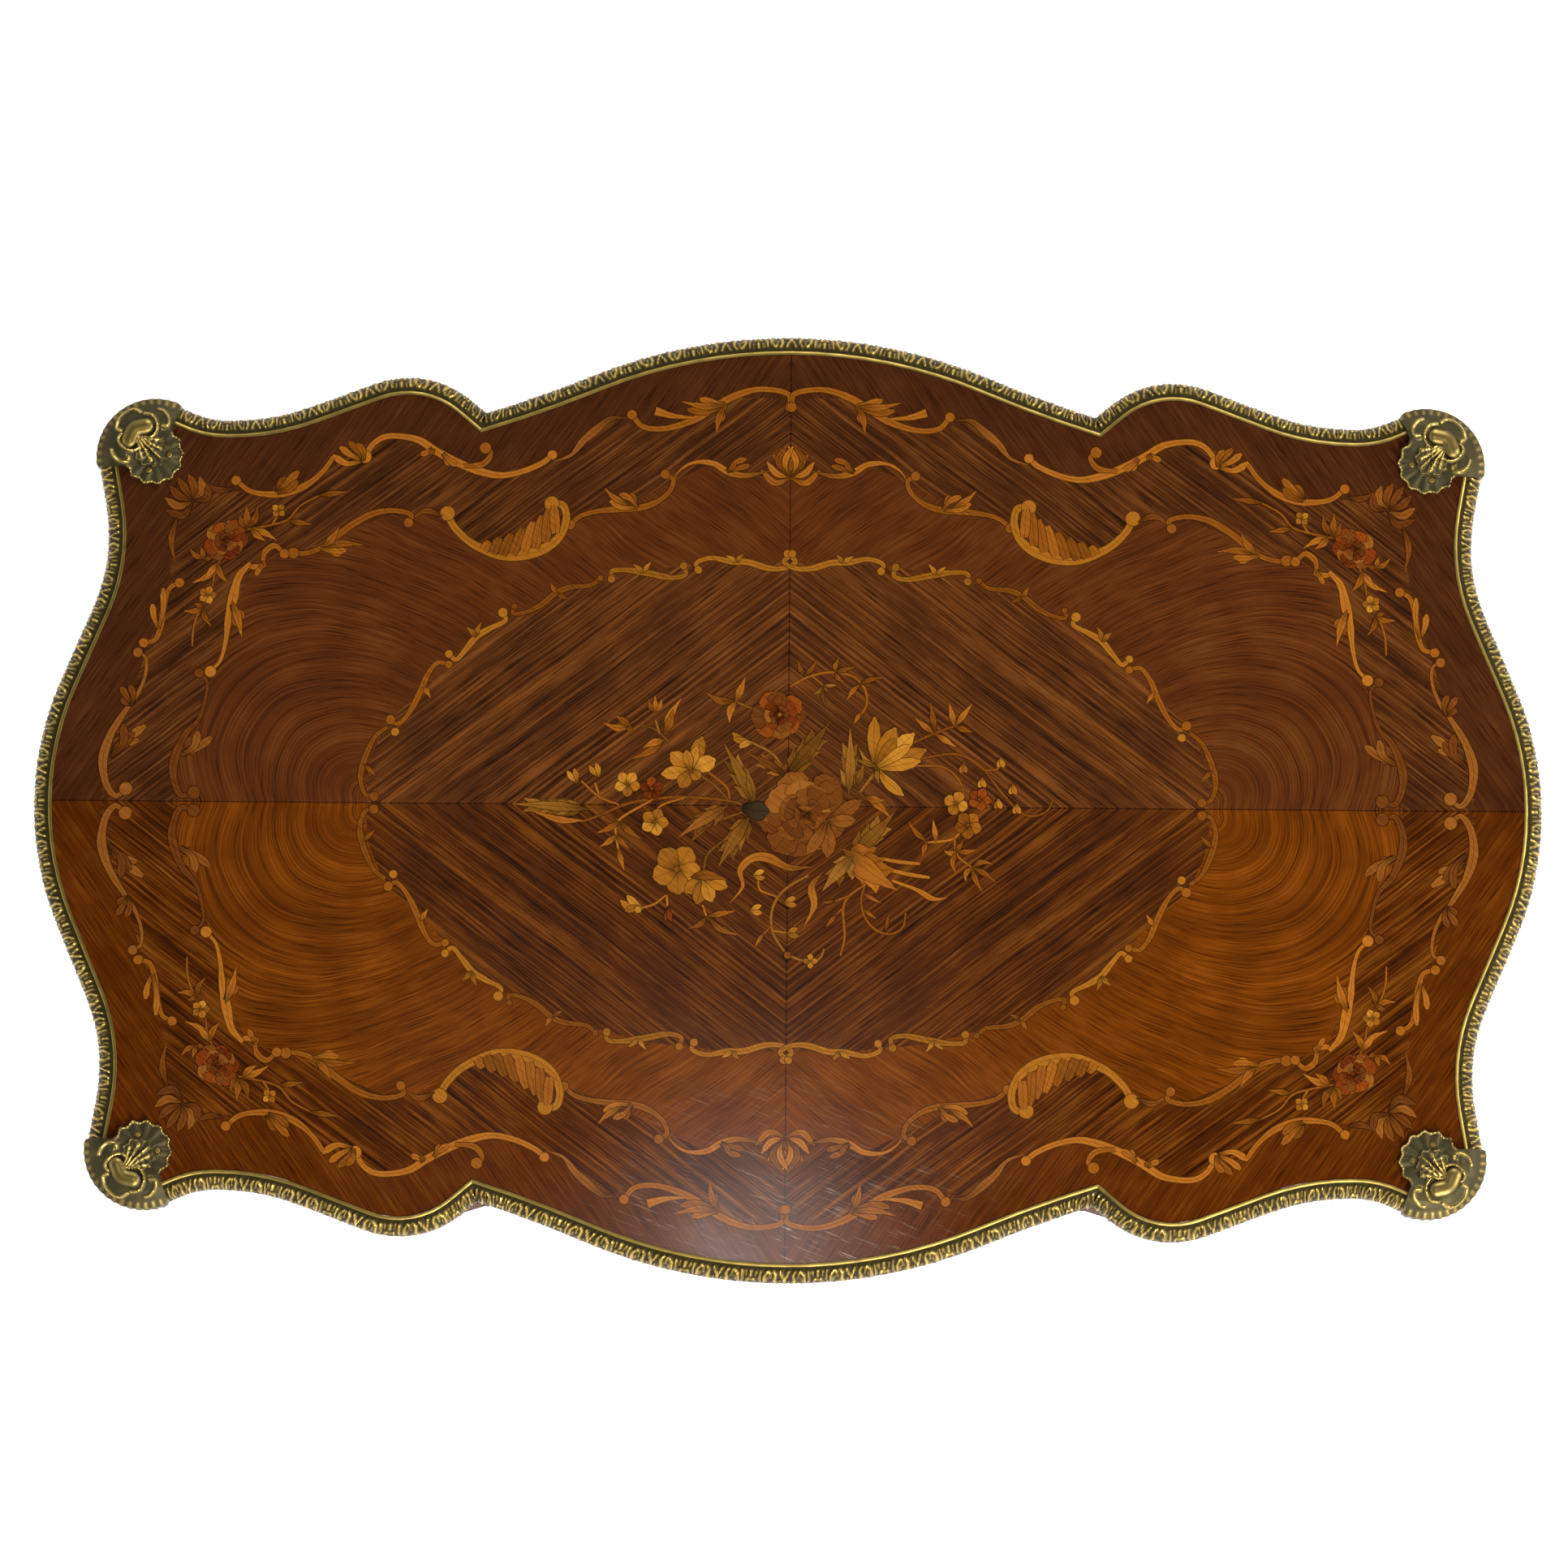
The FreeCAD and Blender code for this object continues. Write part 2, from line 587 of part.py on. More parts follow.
def back_apron():
    """Back apron: serpentine board, hollowed for the knees in the middle and arched under the sides."""
    board = band(FRIEZE_LOOP, -FALSE_FRONT_T, -FALSE_FRONT_T - FRIEZE_WALL, KNEE_Z, CORE_Z)
    board = board.common(block(-POST_SIDE_X, POST_SIDE_X, 0, FAR, KNEE_Z, CORE_Z))
    knee = DIVIDER_X - DIVIDER / 2
    board = board.cut(arch_through("y", [(-knee, knee)], KNEE_Z, CENTRE_OPEN - LOWER_RAIL - KNEE_Z))
    board = board.cut(arch_through("y", side_arches(), KNEE_Z, APRON_ARCH / 2))
    return board.fuse(back_tenon()).fuse(mirror_x(back_tenon())).removeSplitter()


def side_arches():
    """Shallow arches under the two side drawers."""
    start, end = DIVIDER_X + APRON_FOOT, POST_SIDE_X - APRON_FOOT
    return [(start, end), (-end, -start)]


def upper_rail_front():
    rail = band(FRIEZE_LOOP, -RAIL_SET, -RAIL_SET - RAIL_DEEP, OPEN_TOP, CORE_Z)
    rail = rail.common(block(-POST_SIDE_X, POST_SIDE_X, -FAR, 0, OPEN_TOP, CORE_Z))
    tenon = mirror_y(upper_rail_tenon())
    return rail.fuse(tenon).fuse(mirror_x(tenon)).removeSplitter()


def upper_rail_back():
    inner = FALSE_FRONT_T + FRIEZE_WALL
    rail = band(FRIEZE_LOOP, -inner, -inner - RAIL_DEEP / 2, OPEN_TOP, CORE_Z)
    return rail.common(block(-POST_SIDE_X, POST_SIDE_X, 0, FAR, OPEN_TOP, CORE_Z))


def lower_rails_front():
    """A rail under each side drawer and a higher one over the knee space."""
    wall = band(FRIEZE_LOOP, -RAIL_SET, -RAIL_SET - RAIL_DEEP, KNEE_Z, OPEN_TOP)
    side = wall.common(block(DIVIDER_X + DIVIDER / 2, POST_SIDE_X, -FAR, 0, KNEE_Z, SIDE_OPEN))
    side = side.cut(arch_through("y", side_arches(), KNEE_Z, APRON_ARCH / 2))
    side = side.fuse(mirror_y(lower_rail_tenon())).removeSplitter()
    edge = DIVIDER_X - DIVIDER / 2
    centre = wall.common(block(-edge, edge, -FAR, 0, CENTRE_OPEN - LOWER_RAIL, CENTRE_OPEN))
    return Part.Compound([side, mirror_x(side), centre])


def lengthways(x0, x1, front, back, low, high):
    """Board from the front of the desk to the back, shaped to the frieze at both ends."""
    ahead = slab(offset_loop(FRIEZE_LOOP, -front), low, high).common(block(x0, x1, -FAR, 0, low, high))
    behind = slab(offset_loop(FRIEZE_LOOP, -back), low, high).common(block(x0, x1, 0, FAR, low, high))
    return ahead.fuse(behind).removeSplitter()


def divider():
    """Right divider between the centre and the side drawer, also a wall of the knee space."""
    return lengthways(DIVIDER_X - DIVIDER / 2, DIVIDER_X + DIVIDER / 2, RAIL_SET, FALSE_FRONT_T + FRIEZE_WALL,
                      KNEE_Z, OPEN_TOP)


def runners():
    """Six strips that the drawer sides slide on."""
    front, back = RAIL_SET + RAIL_DEEP, FALSE_FRONT_T + FRIEZE_WALL
    inner, outer = DIVIDER_X + DIVIDER / 2, POST_SIDE_X
    knee = DIVIDER_X - DIVIDER / 2
    right = [
        lengthways(inner, inner + RUNNER_W, front, back, SIDE_OPEN - RUNNER_H, SIDE_OPEN),
        lengthways(outer - RUNNER_W, outer, front, back, SIDE_OPEN - RUNNER_H, SIDE_OPEN),
        lengthways(knee - RUNNER_W, knee, front, back, CENTRE_OPEN - RUNNER_H, CENTRE_OPEN),
    ]
    return Part.Compound(right + [mirror_x(strip) for strip in right])


# Drawers

def flat_frame(first):
    """Middle and heading of the straight stretch after a frieze corner, on the front's right half."""
    take = tangents(FRIEZE_LOOP, True)
    a, b = FRIEZE_LOOP[first], FRIEZE_LOOP[first + 1]
    along = heading(a, b)
    start = V(a[0], a[1], 0) + along * take[first]
    end = V(b[0], b[1], 0) - along * take[first + 1]
    middle = (start + end) * 0.5
    return V(middle.x, -middle.y, 0), math.degrees(math.atan2(-along.y, along.x))


BOW_FRAME = (V(0, FRIEZE_IN - BOW_Y, 0), 0.0)
SIDE_FRAME = flat_frame(2)


def on_front(shape, frame, z=0.0):
    """Set a shape, made with the face at y = 0 and outwards at -y, on the front."""
    placed = shape.copy()
    placed.rotate(V(0, 0, 0), UP, frame[1])
    placed.translate(frame[0] + UP * z)
    return placed


def drawer_front(x0, x1, low):
    board = band(FRIEZE_LOOP, 0, -FRIEZE_WALL, low + DRAWER_GAP, OPEN_TOP - DRAWER_GAP)
    return board.common(block(x0 + DRAWER_GAP, x1 - DRAWER_GAP, -FAR, 0, low, OPEN_TOP))


def drawer_bottom(x0, x1, low, grow=0.0):
    """Thin panel that runs in grooves of the front and the sides."""
    z = low + RUN_GAP + BOTTOM_UP
    side = DRAWER_GAP + SIDE_T - GROOVE + WOOD_FIT - grow
    under, over = z - grow, z + BOTTOM_T + grow
    panel = slab(offset_loop(FRIEZE_LOOP, grow - WOOD_FIT - FRIEZE_WALL + GROOVE), under, over)
    return panel.common(block(x0 + side, x1 - side, -FAR, DRAWER_LONG_TO + grow, under, over))


def drawer_side(x0, low, front):
    """Side board with dovetails that end inside the front."""
    top = OPEN_TOP - DRAWER_GAP - SIDE_DROP
    foot = low + RUN_GAP
    board = slab(offset_loop(FRIEZE_LOOP, TAIL_LONG - FRIEZE_WALL), foot, top)
    board = board.common(block(x0, x0 + SIDE_T, -FAR, DRAWER_LONG_TO, foot, top))
    lapped = board.common(front)
    near, far = lapped.BoundBox.YMax + 1, lapped.BoundBox.YMin - 1
    pitch = (top - foot) / TAILS
    tails = []
    for i in range(TAILS):
        z = foot + pitch * (i + 0.5)
        neck = pitch / 4
        wide = neck + TAIL_SPREAD
        outline = [V(x0, near, z - neck), V(x0, near, z + neck), V(x0, far, z + wide), V(x0, far, z - wide)]
        tails.append(Part.Face(Part.makePolygon(outline + outline[:1])).extrude(V(SIDE_T, 0, 0)))
    return board.cut(front).fuse(lapped.common(Part.Compound(tails))).removeSplitter()


def lock_case(grow=0.0):
    """Lock let into the back of the front, flush with the front's top edge at z = 0."""
    return block(-LOCK_W / 2 - grow, LOCK_W / 2 + grow, FRIEZE_WALL - LOCK_T - grow, FRIEZE_WALL + grow,
                 -LOCK_H - grow, grow)


def bolt_block(grow=0.0, below=0.0, above=0.0):
    middle = FRIEZE_WALL - LOCK_T / 2
    wide, thick = BOLT_W / 2 + grow, BOLT_T / 2 + grow
    return block(-wide, wide, middle - thick, middle + thick, -BOLT_SUNK - BOLT_H - below, -BOLT_SUNK + above)


def key_cut():
    """Keyhole through the escutcheon and the front: a round hole over a slot."""
    start, end = -ESCUTCHEON_T * 2, FRIEZE_WALL - LOCK_T
    hole = Part.makeCylinder(KEYHOLE_R, end - start, V(0, start, 0), V(0, 1, 0))
    slot = block(-KEY_SLOT_W / 2, KEY_SLOT_W / 2, start, end, -KEY_SLOT_H, 0)
    return hole.fuse(slot)


def escutcheon(frame, z):
    """Keyhole plate bent to the curve of the front."""
    outline = ESCUTCHEON + [(-x, h, r) for x, h, r in ESCUTCHEON[::-1]]
    wire = rounded(outline)
    wire.rotate(V(0, 0, 0), V(1, 0, 0), 90)
    wire.translate(V(0, FRIEZE_WALL / 2, 0))
    prism = on_front(Part.Face(wire).extrude(V(0, -FRIEZE_WALL, 0)), frame, z)
    plate = band(FRIEZE_LOOP, ESCUTCHEON_T, 0, z - LOCK_H, z + LOCK_H).common(prism)
    return plate.cut(on_front(key_cut(), frame, z)).Solids[0]


def drawer(x0, x1, low, lock_frame, key_z):
    """All pieces of one drawer by name."""
    front = drawer_front(x0, x1, low)
    top = OPEN_TOP - DRAWER_GAP
    groove = drawer_bottom(x0, x1, low, WOOD_FIT)
    left = drawer_side(x0 + DRAWER_GAP, low, front)
    right = drawer_side(x1 - DRAWER_GAP - SIDE_T, low, front)
    base = low + RUN_GAP + BOTTOM_UP + BOTTOM_T
    back = block(x0 + DRAWER_GAP + SIDE_T, x1 - DRAWER_GAP - SIDE_T, DRAWER_LONG_TO - SIDE_T, DRAWER_LONG_TO,
                 base, top - SIDE_DROP)
    front = front.cut(left).cut(right).cut(groove).cut(on_front(lock_case(WOOD_FIT), lock_frame, top))
    front = front.cut(on_front(key_cut(), lock_frame, key_z))
    lock = lock_case().cut(bolt_block(BOLT_FIT, RUN_GAP, LOCK_H))
    return {
        "front": front.Solids[0],
        "sides": Part.Compound([left.cut(groove), right.cut(groove), back]),
        "bottom": drawer_bottom(x0, x1, low),
        "escutcheon": escutcheon(lock_frame, key_z),
        "lock": on_front(lock, lock_frame, top),
        "bolt": on_front(bolt_block(), lock_frame, top),
    }


def strike(frame):
    """Mortise in the upper rail that takes the raised bolt."""
    return on_front(bolt_block(STRIKE_FIT, 0, BOLT_TRAVEL + STRIKE_FIT), frame, OPEN_TOP - DRAWER_GAP)


def line_y(x, inward):
    """Distance of the frieze line, moved in, from the middle of the desk at a given x."""
    wire = rounded(offset_loop(FRIEZE_LOOP, -inward))
    return wire.distToShape(Part.makeLine(V(x, 0, 0), V(x, FAR, 0)))[1][0][0].y


def top_screw_spots():
    """Screw seats under the two upper rails."""
    spots = []
    for x in TOP_SCREW_X:
        front = line_y(x, RAIL_SET + RAIL_DEEP * 0.75)
        back = line_y(x, FALSE_FRONT_T + FRIEZE_WALL + RAIL_DEEP / 4)
        for side in (-x, x):
            spots.append(V(side, -front, OPEN_TOP))
            spots.append(V(side, back, OPEN_TOP))
    return spots


# Assembly

def assemble():
    """Every node of the desk by name."""
    nodes = {}
    core = slab(TOP_LOOP, CORE_Z, CORE_TOP)
    border, outer_band, field, centre = veneers()

    clasp, hub, middle = corner_clasp()
    seat_z = TOP_Z + SHELL_RIM + CLASP_SCREW_HEAD_H
    clasp_screws = []
    for spot in clasp_screw_spots(hub, middle):
        seat = spot + UP * seat_z
        clasp = clasp.cut(Part.makeCylinder(CLASP_SCREW_R + SCREW_FIT, FAR, spot))
        clasp = clasp.cut(Part.makeCylinder(CLASP_SCREW_HEAD_R + SCREW_FIT, SHELL_TOP, seat))
        clasp_screws.append(screw(
            seat, UP * -1, CLASP_SCREW_R, CLASP_SCREW_HEAD_R, CLASP_SCREW_HEAD_H, CLASP_SCREW_LONG))
    screw_sets = four_corners(Part.Compound(clasp_screws))
    holes = []
    for spot in clasp_screw_spots(hub, middle):
        depth = seat_z - CLASP_SCREW_LONG - SCREW_FIT
        holes.append(Part.makeCylinder(CLASP_SCREW_R + SCREW_FIT, TOP_Z, spot + UP * depth))
    hole_sets = list(four_corners(Part.Compound(holes)).values())
    all_holes = Part.Compound(hole_sets)
    for name, piece in four_corners(clasp).items():
        nodes["corner_clasp_" + name] = piece
    nodes["clasp_screws"] = Part.Compound([s for group in screw_sets.values() for s in group.Solids])
    core = core.cut(all_holes)
    nodes["veneer_border"] = border.cut(all_holes)
    nodes["veneer_band"] = outer_band.cut(all_holes)
    nodes["veneer_field"] = field
    nodes["veneer_centre"] = centre

    back_mould = long_side_mouldings()
    nodes["edge_moulding_back"] = back_mould
    nodes["edge_moulding_front"] = mirror_y(back_mould)
    end_mould = short_side_moulding()
    nodes["edge_moulding_right"] = end_mould
    nodes["edge_moulding_left"] = mirror_x(end_mould)

    for name, leg in legs().items():
        nodes["leg_" + name] = leg
    for name, piece in four_corners(knee_mount()).items():
        nodes["knee_mount_" + name] = piece
    for name, piece in four_corners(sabot()).items():
        nodes["sabot_" + name] = piece

    apron = end_apron()
    nodes["apron_right"] = apron
    nodes["apron_left"] = mirror_x(apron)
    nodes["back_apron"] = back_apron()
    wall = divider()
    nodes["divider_right"] = wall
    nodes["divider_left"] = mirror_x(wall)
    nodes["front_lower_rail"] = lower_rails_front()
    nodes["drawer_runners"] = runners()

    left_frame = (V(-SIDE_FRAME[0].x, SIDE_FRAME[0].y, 0), -SIDE_FRAME[1])
    front_rail = upper_rail_front()
    for frame in (BOW_FRAME, SIDE_FRAME, left_frame):
        front_rail = front_rail.cut(strike(frame))
    back_rail = upper_rail_back()
    top_screws = []
    for seat in top_screw_spots():
        hole = Part.makeCylinder(TOP_SCREW_R + SCREW_FIT, TOP_SCREW_LONG + SCREW_FIT, seat)
        core = core.cut(hole)
        front_rail = front_rail.cut(hole)
        back_rail = back_rail.cut(hole)
        top_screws.append(screw(
            seat, UP, TOP_SCREW_R, TOP_SCREW_HEAD_R, TOP_SCREW_HEAD_H, TOP_SCREW_LONG))
    nodes["top_core"] = core
    nodes["front_upper_rail"] = front_rail
    nodes["back_upper_rail"] = back_rail
    nodes["top_screws"] = Part.Compound(top_screws)

    edge = DIVIDER_X - DIVIDER / 2
    side_edge = DIVIDER_X + DIVIDER / 2
    side_middle = (SIDE_OPEN + OPEN_TOP) / 2
    centre_middle = (CENTRE_OPEN + OPEN_TOP) / 2
    right = drawer(side_edge, POST_SIDE_X, SIDE_OPEN, SIDE_FRAME, side_middle + SIDE_KEY_UP)
    central = drawer(-edge, edge, CENTRE_OPEN, BOW_FRAME, centre_middle + CENTRE_KEY_UP)
    for name, piece in right.items():
        nodes["drawer_right_" + name] = piece
        nodes["drawer_left_" + name] = mirror_x(piece)
    for name, piece in central.items():
        nodes["drawer_centre_" + name] = piece

    false_wall = band(FRIEZE_LOOP, 0, -FALSE_FRONT_T, SIDE_OPEN, OPEN_TOP)
    gap = DRAWER_GAP
    side_false = false_wall.common(block(
        side_edge + gap, POST_SIDE_X - gap, 0, FAR, SIDE_OPEN + gap, OPEN_TOP - gap))
    centre_false = false_wall.common(block(
        -edge + gap, edge - gap, 0, FAR, CENTRE_OPEN + gap, OPEN_TOP - gap))
    nodes["false_drawer_fronts"] = Part.Compound([side_false, mirror_x(side_false), centre_false])
    plates = [right["escutcheon"], mirror_x(right["escutcheon"]), central["escutcheon"]]
    nodes["back_escutcheons"] = Part.Compound([mirror_y(one) for one in plates])
    return nodes


os.makedirs("parts", exist_ok=True)
for node, shape in assemble().items():
    shape.exportStep("parts/" + node + ".step")
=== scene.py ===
# %% [markdown]
# # A serpentine writing desk with a marquetry top
# The desk is seen almost straight from above: a veneered top with inlaid scrolls and a bouquet, held in a
# cast metal edge with a shell clasp on each corner. Legs, drawers and their mounts are below it. The packed
# model is the frame, so everything new is placed from its boxes and outlines, in metres.

# %% Load the frame
import bpy
import bmesh
import itertools
import math
import random
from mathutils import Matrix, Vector


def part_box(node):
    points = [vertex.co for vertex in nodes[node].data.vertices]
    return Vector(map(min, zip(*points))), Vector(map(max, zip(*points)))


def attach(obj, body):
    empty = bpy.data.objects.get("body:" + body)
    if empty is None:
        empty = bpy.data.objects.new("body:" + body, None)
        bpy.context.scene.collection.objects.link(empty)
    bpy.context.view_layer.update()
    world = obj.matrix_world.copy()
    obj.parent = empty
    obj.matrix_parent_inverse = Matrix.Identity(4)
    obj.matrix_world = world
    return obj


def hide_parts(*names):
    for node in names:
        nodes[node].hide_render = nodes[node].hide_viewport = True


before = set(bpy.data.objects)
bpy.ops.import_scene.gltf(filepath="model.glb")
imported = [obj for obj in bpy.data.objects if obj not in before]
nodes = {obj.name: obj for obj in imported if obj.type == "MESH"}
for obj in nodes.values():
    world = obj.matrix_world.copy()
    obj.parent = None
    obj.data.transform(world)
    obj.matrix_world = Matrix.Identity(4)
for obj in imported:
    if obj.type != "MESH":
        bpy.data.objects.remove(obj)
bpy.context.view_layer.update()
MM = 0.001
top_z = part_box("veneer_centre")[1][2]
print("frame", len(nodes), "nodes, top surface at", round(top_z, 4))

# %% [markdown]
# ## Colours and shader nodes
# A colour is written as the sRGB hex value that the eye sees and turned to linear once. One function adds a
# shader node with its settings and links and hands back its output, so a pattern reads like a sum worked
# out line by line. Two sets of options for the Mix node have names, because most finishes need them.

# %% Colours and nodes
BLEND = {"out": 2, "data_type": "RGBA"}                 # lay one colour over another
SHADE = {**BLEND, "blend_type": "MULTIPLY"}             # darken a colour by a grey


def linear(code):
    """Linear colour of an sRGB hex value."""
    parts = [int(code[i:i + 2], 16) / 255 for i in (1, 3, 5)]
    return [c / 12.92 if c <= 0.04045 else ((c + 0.055) / 1.055) ** 2.4 for c in parts] + [1.0]


def add(tree, kind, inputs=None, out=0, stops=None, **settings):
    """Add a node and give back one output, or all of them for out None.

    Inputs are sockets to link or plain values, stops fill a colour ramp and settings are the node's options.
    """
    made = tree.nodes.new("ShaderNode" + kind)
    for name, value in settings.items():
        setattr(made, name, value)
    for name, value in (inputs or {}).items():
        if isinstance(value, bpy.types.NodeSocket):
            tree.links.new(value, made.inputs[name])
        else:
            made.inputs[name].default_value = value
    for i, (place, code) in enumerate(stops or []):
        ramp = made.color_ramp.elements
        stop = ramp[i] if i < 2 else ramp.new(place)
        stop.position = place
        stop.color = linear(code)
    return made.outputs[out] if made.outputs and out is not None else made.outputs


print("#808080 is", round(linear("#808080")[0], 3), "in linear light")

# %% [markdown]
# A finish is a function that builds the nodes and returns what the shader's sockets get. The nodes that
# come with the frame keep their meshes and are only dressed. A new piece is an object at the origin with
# its place in its mesh, and it is picked alone, because an operator works on all that is selected.

# %% Finishes and pieces
PREVIEW_BROWN = (0.3, 0.15, 0.05, 1.0)      # stands for a finish where no nodes are drawn


def finish_material(name, build):
    """New material whose nodes are made by a function of its tree, which returns the inputs of the shader."""
    material = bpy.data.materials.new(name)
    material.use_nodes = True
    material.diffuse_color = PREVIEW_BROWN
    tree = material.node_tree
    tree.nodes.clear()
    add(tree, "OutputMaterial", {"Surface": add(tree, "BsdfPrincipled", build(tree))})
    return material


def dress(names, material):
    """Give carried-over nodes a material."""
    for name in names:
        mesh = nodes[name].data
        mesh.materials.clear()
        mesh.materials.append(material)


def shown(base):
    """Names of the nodes that start with a word."""
    return [name for name in nodes if name.startswith(base)]


def new_piece(name, mesh):
    """Object at the origin for a mesh, picked alone."""
    piece = bpy.data.objects.new(name, mesh)
    bpy.context.collection.objects.link(piece)
    bpy.ops.object.select_all(action="DESELECT")
    bpy.context.view_layer.objects.active = piece
    piece.select_set(True)
    return piece


def cast_mount(piece, node):
    """Fix a casting to the desk in place of its plain node."""
    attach(piece, "desk")
    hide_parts(node)


print("nodes of the top:", ", ".join(shown("veneer_")))

# %% [markdown]
# ## Camera
# The camera stands about five metres over the desk and a little to the front, so the top shows almost no
# perspective and the front moulding shows wider than the back one. The lens follows from the width that has
# to fill the picture.

# %% Camera
LOOK_AT = Vector((-0.0035, 0.019, top_z))
CAMERA_AT = Vector((0.0, -0.42, top_z + 5.0))
FRAME_WIDE = 1.3485         # metres of the top that fill the picture's width
SENSOR = 36                 # mm

sight = LOOK_AT - CAMERA_AT
bpy.ops.object.camera_add(location=CAMERA_AT)
camera = bpy.context.object
camera.rotation_euler = sight.to_track_quat("-Z", "Y").to_euler()
camera.data.sensor_width = SENSOR
camera.data.lens = SENSOR * sight.length / FRAME_WIDE
camera.data.clip_end = 60
bpy.context.scene.camera = camera
bpy.context.scene.view_settings.view_transform = "Standard"
print("lens", round(camera.data.lens, 1), "mm from", round(sight.length, 2), "m")

# %% [markdown]
# ## Lamps
# Four soft lamps stand outside the mirror angle of the polish, so the wood keeps its depth. The front and
# right ones are the strongest and the left end falls off a little. One small lamp beside the camera gives
# the shine at the middle of the front.

# %% Lamps
LAMP_AIM = (0, 0, 0.7)
LAMPS = [                   # name, place and aim in metres, width in metres, watts
    ("front_softbox", (1.3, -3.6, 3.6), LAMP_AIM, 2.4, 280),
    ("back_softbox", (0.9, 4.2, 4.2), LAMP_AIM, 2.4, 130),
    ("left_softbox", (-4.2, -0.6, 3.4), LAMP_AIM, 2.2, 15),
    ("right_softbox", (4.2, -0.4, 3.4), LAMP_AIM, 2.2, 165),
    ("shine_lamp", (-0.05, -0.34, top_z + 5.0), (-0.01, -0.37, top_z), 0.22, 10),
]
for name, place, aim, wide, watts in LAMPS:
    bpy.ops.object.light_add(type="AREA", location=place)
    lamp = bpy.context.object
    lamp.name = name
    lamp.rotation_euler = (Vector(aim) - Vector(place)).to_track_quat("-Z", "Y").to_euler()
    lamp.data.size = wide
    lamp.data.energy = watts
print("lamps", len(LAMPS))

# %% [markdown]
# ## White room
# The background is white for the eye, for mirror-like metal and through glass, but it adds hardly any light
# of its own. A dim ceiling gives the bronze something dark to mirror and keeps a pale veil off the polish.
# The paper floor takes the shadow of the desk and fades to pure white farther off.

# %% World
CEILING = (0.4, 0.85)       # upward part of a direction where the ceiling starts and is at its darkest
CEILING_GLOW = 0.15
FILL_GLOW = 0.05            # what the room sheds on the desk


def shows_background(tree):
    """1 for rays that show the background: from the camera, off a mirror-like surface or through glass."""
    path = add(tree, "LightPath", out=None)
    direct = add(tree, "Math", {0: path["Is Camera Ray"], 1: path["Is Glossy Ray"]})
    return add(tree, "Math", {0: direct, 1: path["Is Transmission Ray"]}, use_clamp=True)


world = bpy.data.worlds.new("studio")
bpy.context.scene.world = world
world.use_nodes = True
room = world.node_tree
room.nodes.clear()
upward = add(room, "TexCoord", out="Generated")
upward = add(room, "SeparateXYZ", {0: upward}, out=2)
wall = {"Value": upward, 1: CEILING[0], 2: CEILING[1], 3: 1.0, 4: CEILING_GLOW}
wall = add(room, "MapRange", wall, interpolation_type="SMOOTHSTEP")
glow = add(room, "Mix", {"Factor": shows_background(room), 2: FILL_GLOW, 3: wall})
white_room = add(room, "Background", {"Color": linear("#FFFFFF"), "Strength": glow})
add(room, "OutputWorld", {"Surface": white_room})
print("world", world.name, len(room.nodes), "nodes")

# %% [markdown]
# The floor is a sheet of matt white paper. Near the desk it glows only by half, so that the shadow still
# shows on it, and farther off it glows fully, so that no horizon shows. Only rays that show the background
# see this glow.

# %% Floor
FLOOR_WIDE = 40
PAPER_NEAR, PAPER_FAR = 1.2, 6.0    # metres from the middle between which the paper fades to white
PAPER_GLOW = 0.48                   # glow near the desk
PAPER_MOTTLE = 333 * MM


def floor_paint(tree):
    """Matt white paper with a faint mottle."""
    place = add(tree, "TexCoord", out="Object")
    mottle = add(tree, "TexNoise", {"Vector": place, "Scale": 1 / PAPER_MOTTLE})
    tint = add(tree, "ValToRGB", {"Fac": mottle}, stops=[(0.3, "#F7F7F7"), (0.7, "#FCFCFC")])
    reach = add(tree, "VectorMath", {0: place}, out="Value", operation="LENGTH")
    white = add(tree, "MapRange", {"Value": reach, 1: PAPER_NEAR, 2: PAPER_FAR, 3: PAPER_GLOW, 4: 1.0})
    white = add(tree, "Math", {0: white, 1: shows_background(tree)}, operation="MULTIPLY")
    return {"Base Color": tint, "Roughness": 0.9, "Specular IOR Level": 0.0,
            "Emission Color": linear("#FFFFFF"), "Emission Strength": white}


bpy.ops.mesh.primitive_plane_add(size=FLOOR_WIDE)
floor = bpy.context.object
floor.name = "floor"
floor.data.materials.append(finish_material("matt_white_paper", floor_paint))
print("floor", FLOOR_WIDE, "m wide")

# %% [markdown]
# ## Veneers of the top
# The top is laid in four quarters cut from the same flitch and opened like a book, so left mirrors right
# and back mirrors front. The pattern therefore reads the absolute value of x and y. Streaks are noise that
# is stretched along the grain. A Mapping node of the Texture kind divides by its scale, so the scale is the
# real size of a streak.

# %% Streaks of a leaf
WANDER = 9 * MM             # how far the streaks stray from a straight line
WANDER_SIZE = 166.7 * MM
ARCH_LONG = 0.7             # how much of the way past the eye counts; less makes a longer arch


def across(tree, vector, wide, long, detail):
    """Noise of streaks, in mm across and along; the first coordinate of the vector runs across them."""
    size = (wide * MM, long * MM, 1)
    streaks = add(tree, "Mapping", {"Vector": vector, "Scale": size}, vector_type="TEXTURE")
    return add(tree, "TexNoise", {"Vector": streaks, "Scale": 1.0, "Detail": detail, "Roughness": 0.6})


def swirl(tree, straight):
    """Streaks that run straight up to the eye of the leaf and bend round its end, like nested arches."""
    part = add(tree, "SeparateXYZ", {0: straight}, out=None)
    beyond = add(tree, "Math", {0: part[1], 1: -ARCH_LONG}, operation="MULTIPLY")
    beyond = add(tree, "Math", {0: beyond, 1: 0.0}, operation="MAXIMUM")
    arch = add(tree, "CombineXYZ", {0: part[0], 1: beyond})
    arch = add(tree, "VectorMath", {0: arch}, out="Value", operation="LENGTH")
    return add(tree, "CombineXYZ", {0: arch, 1: part[1]})


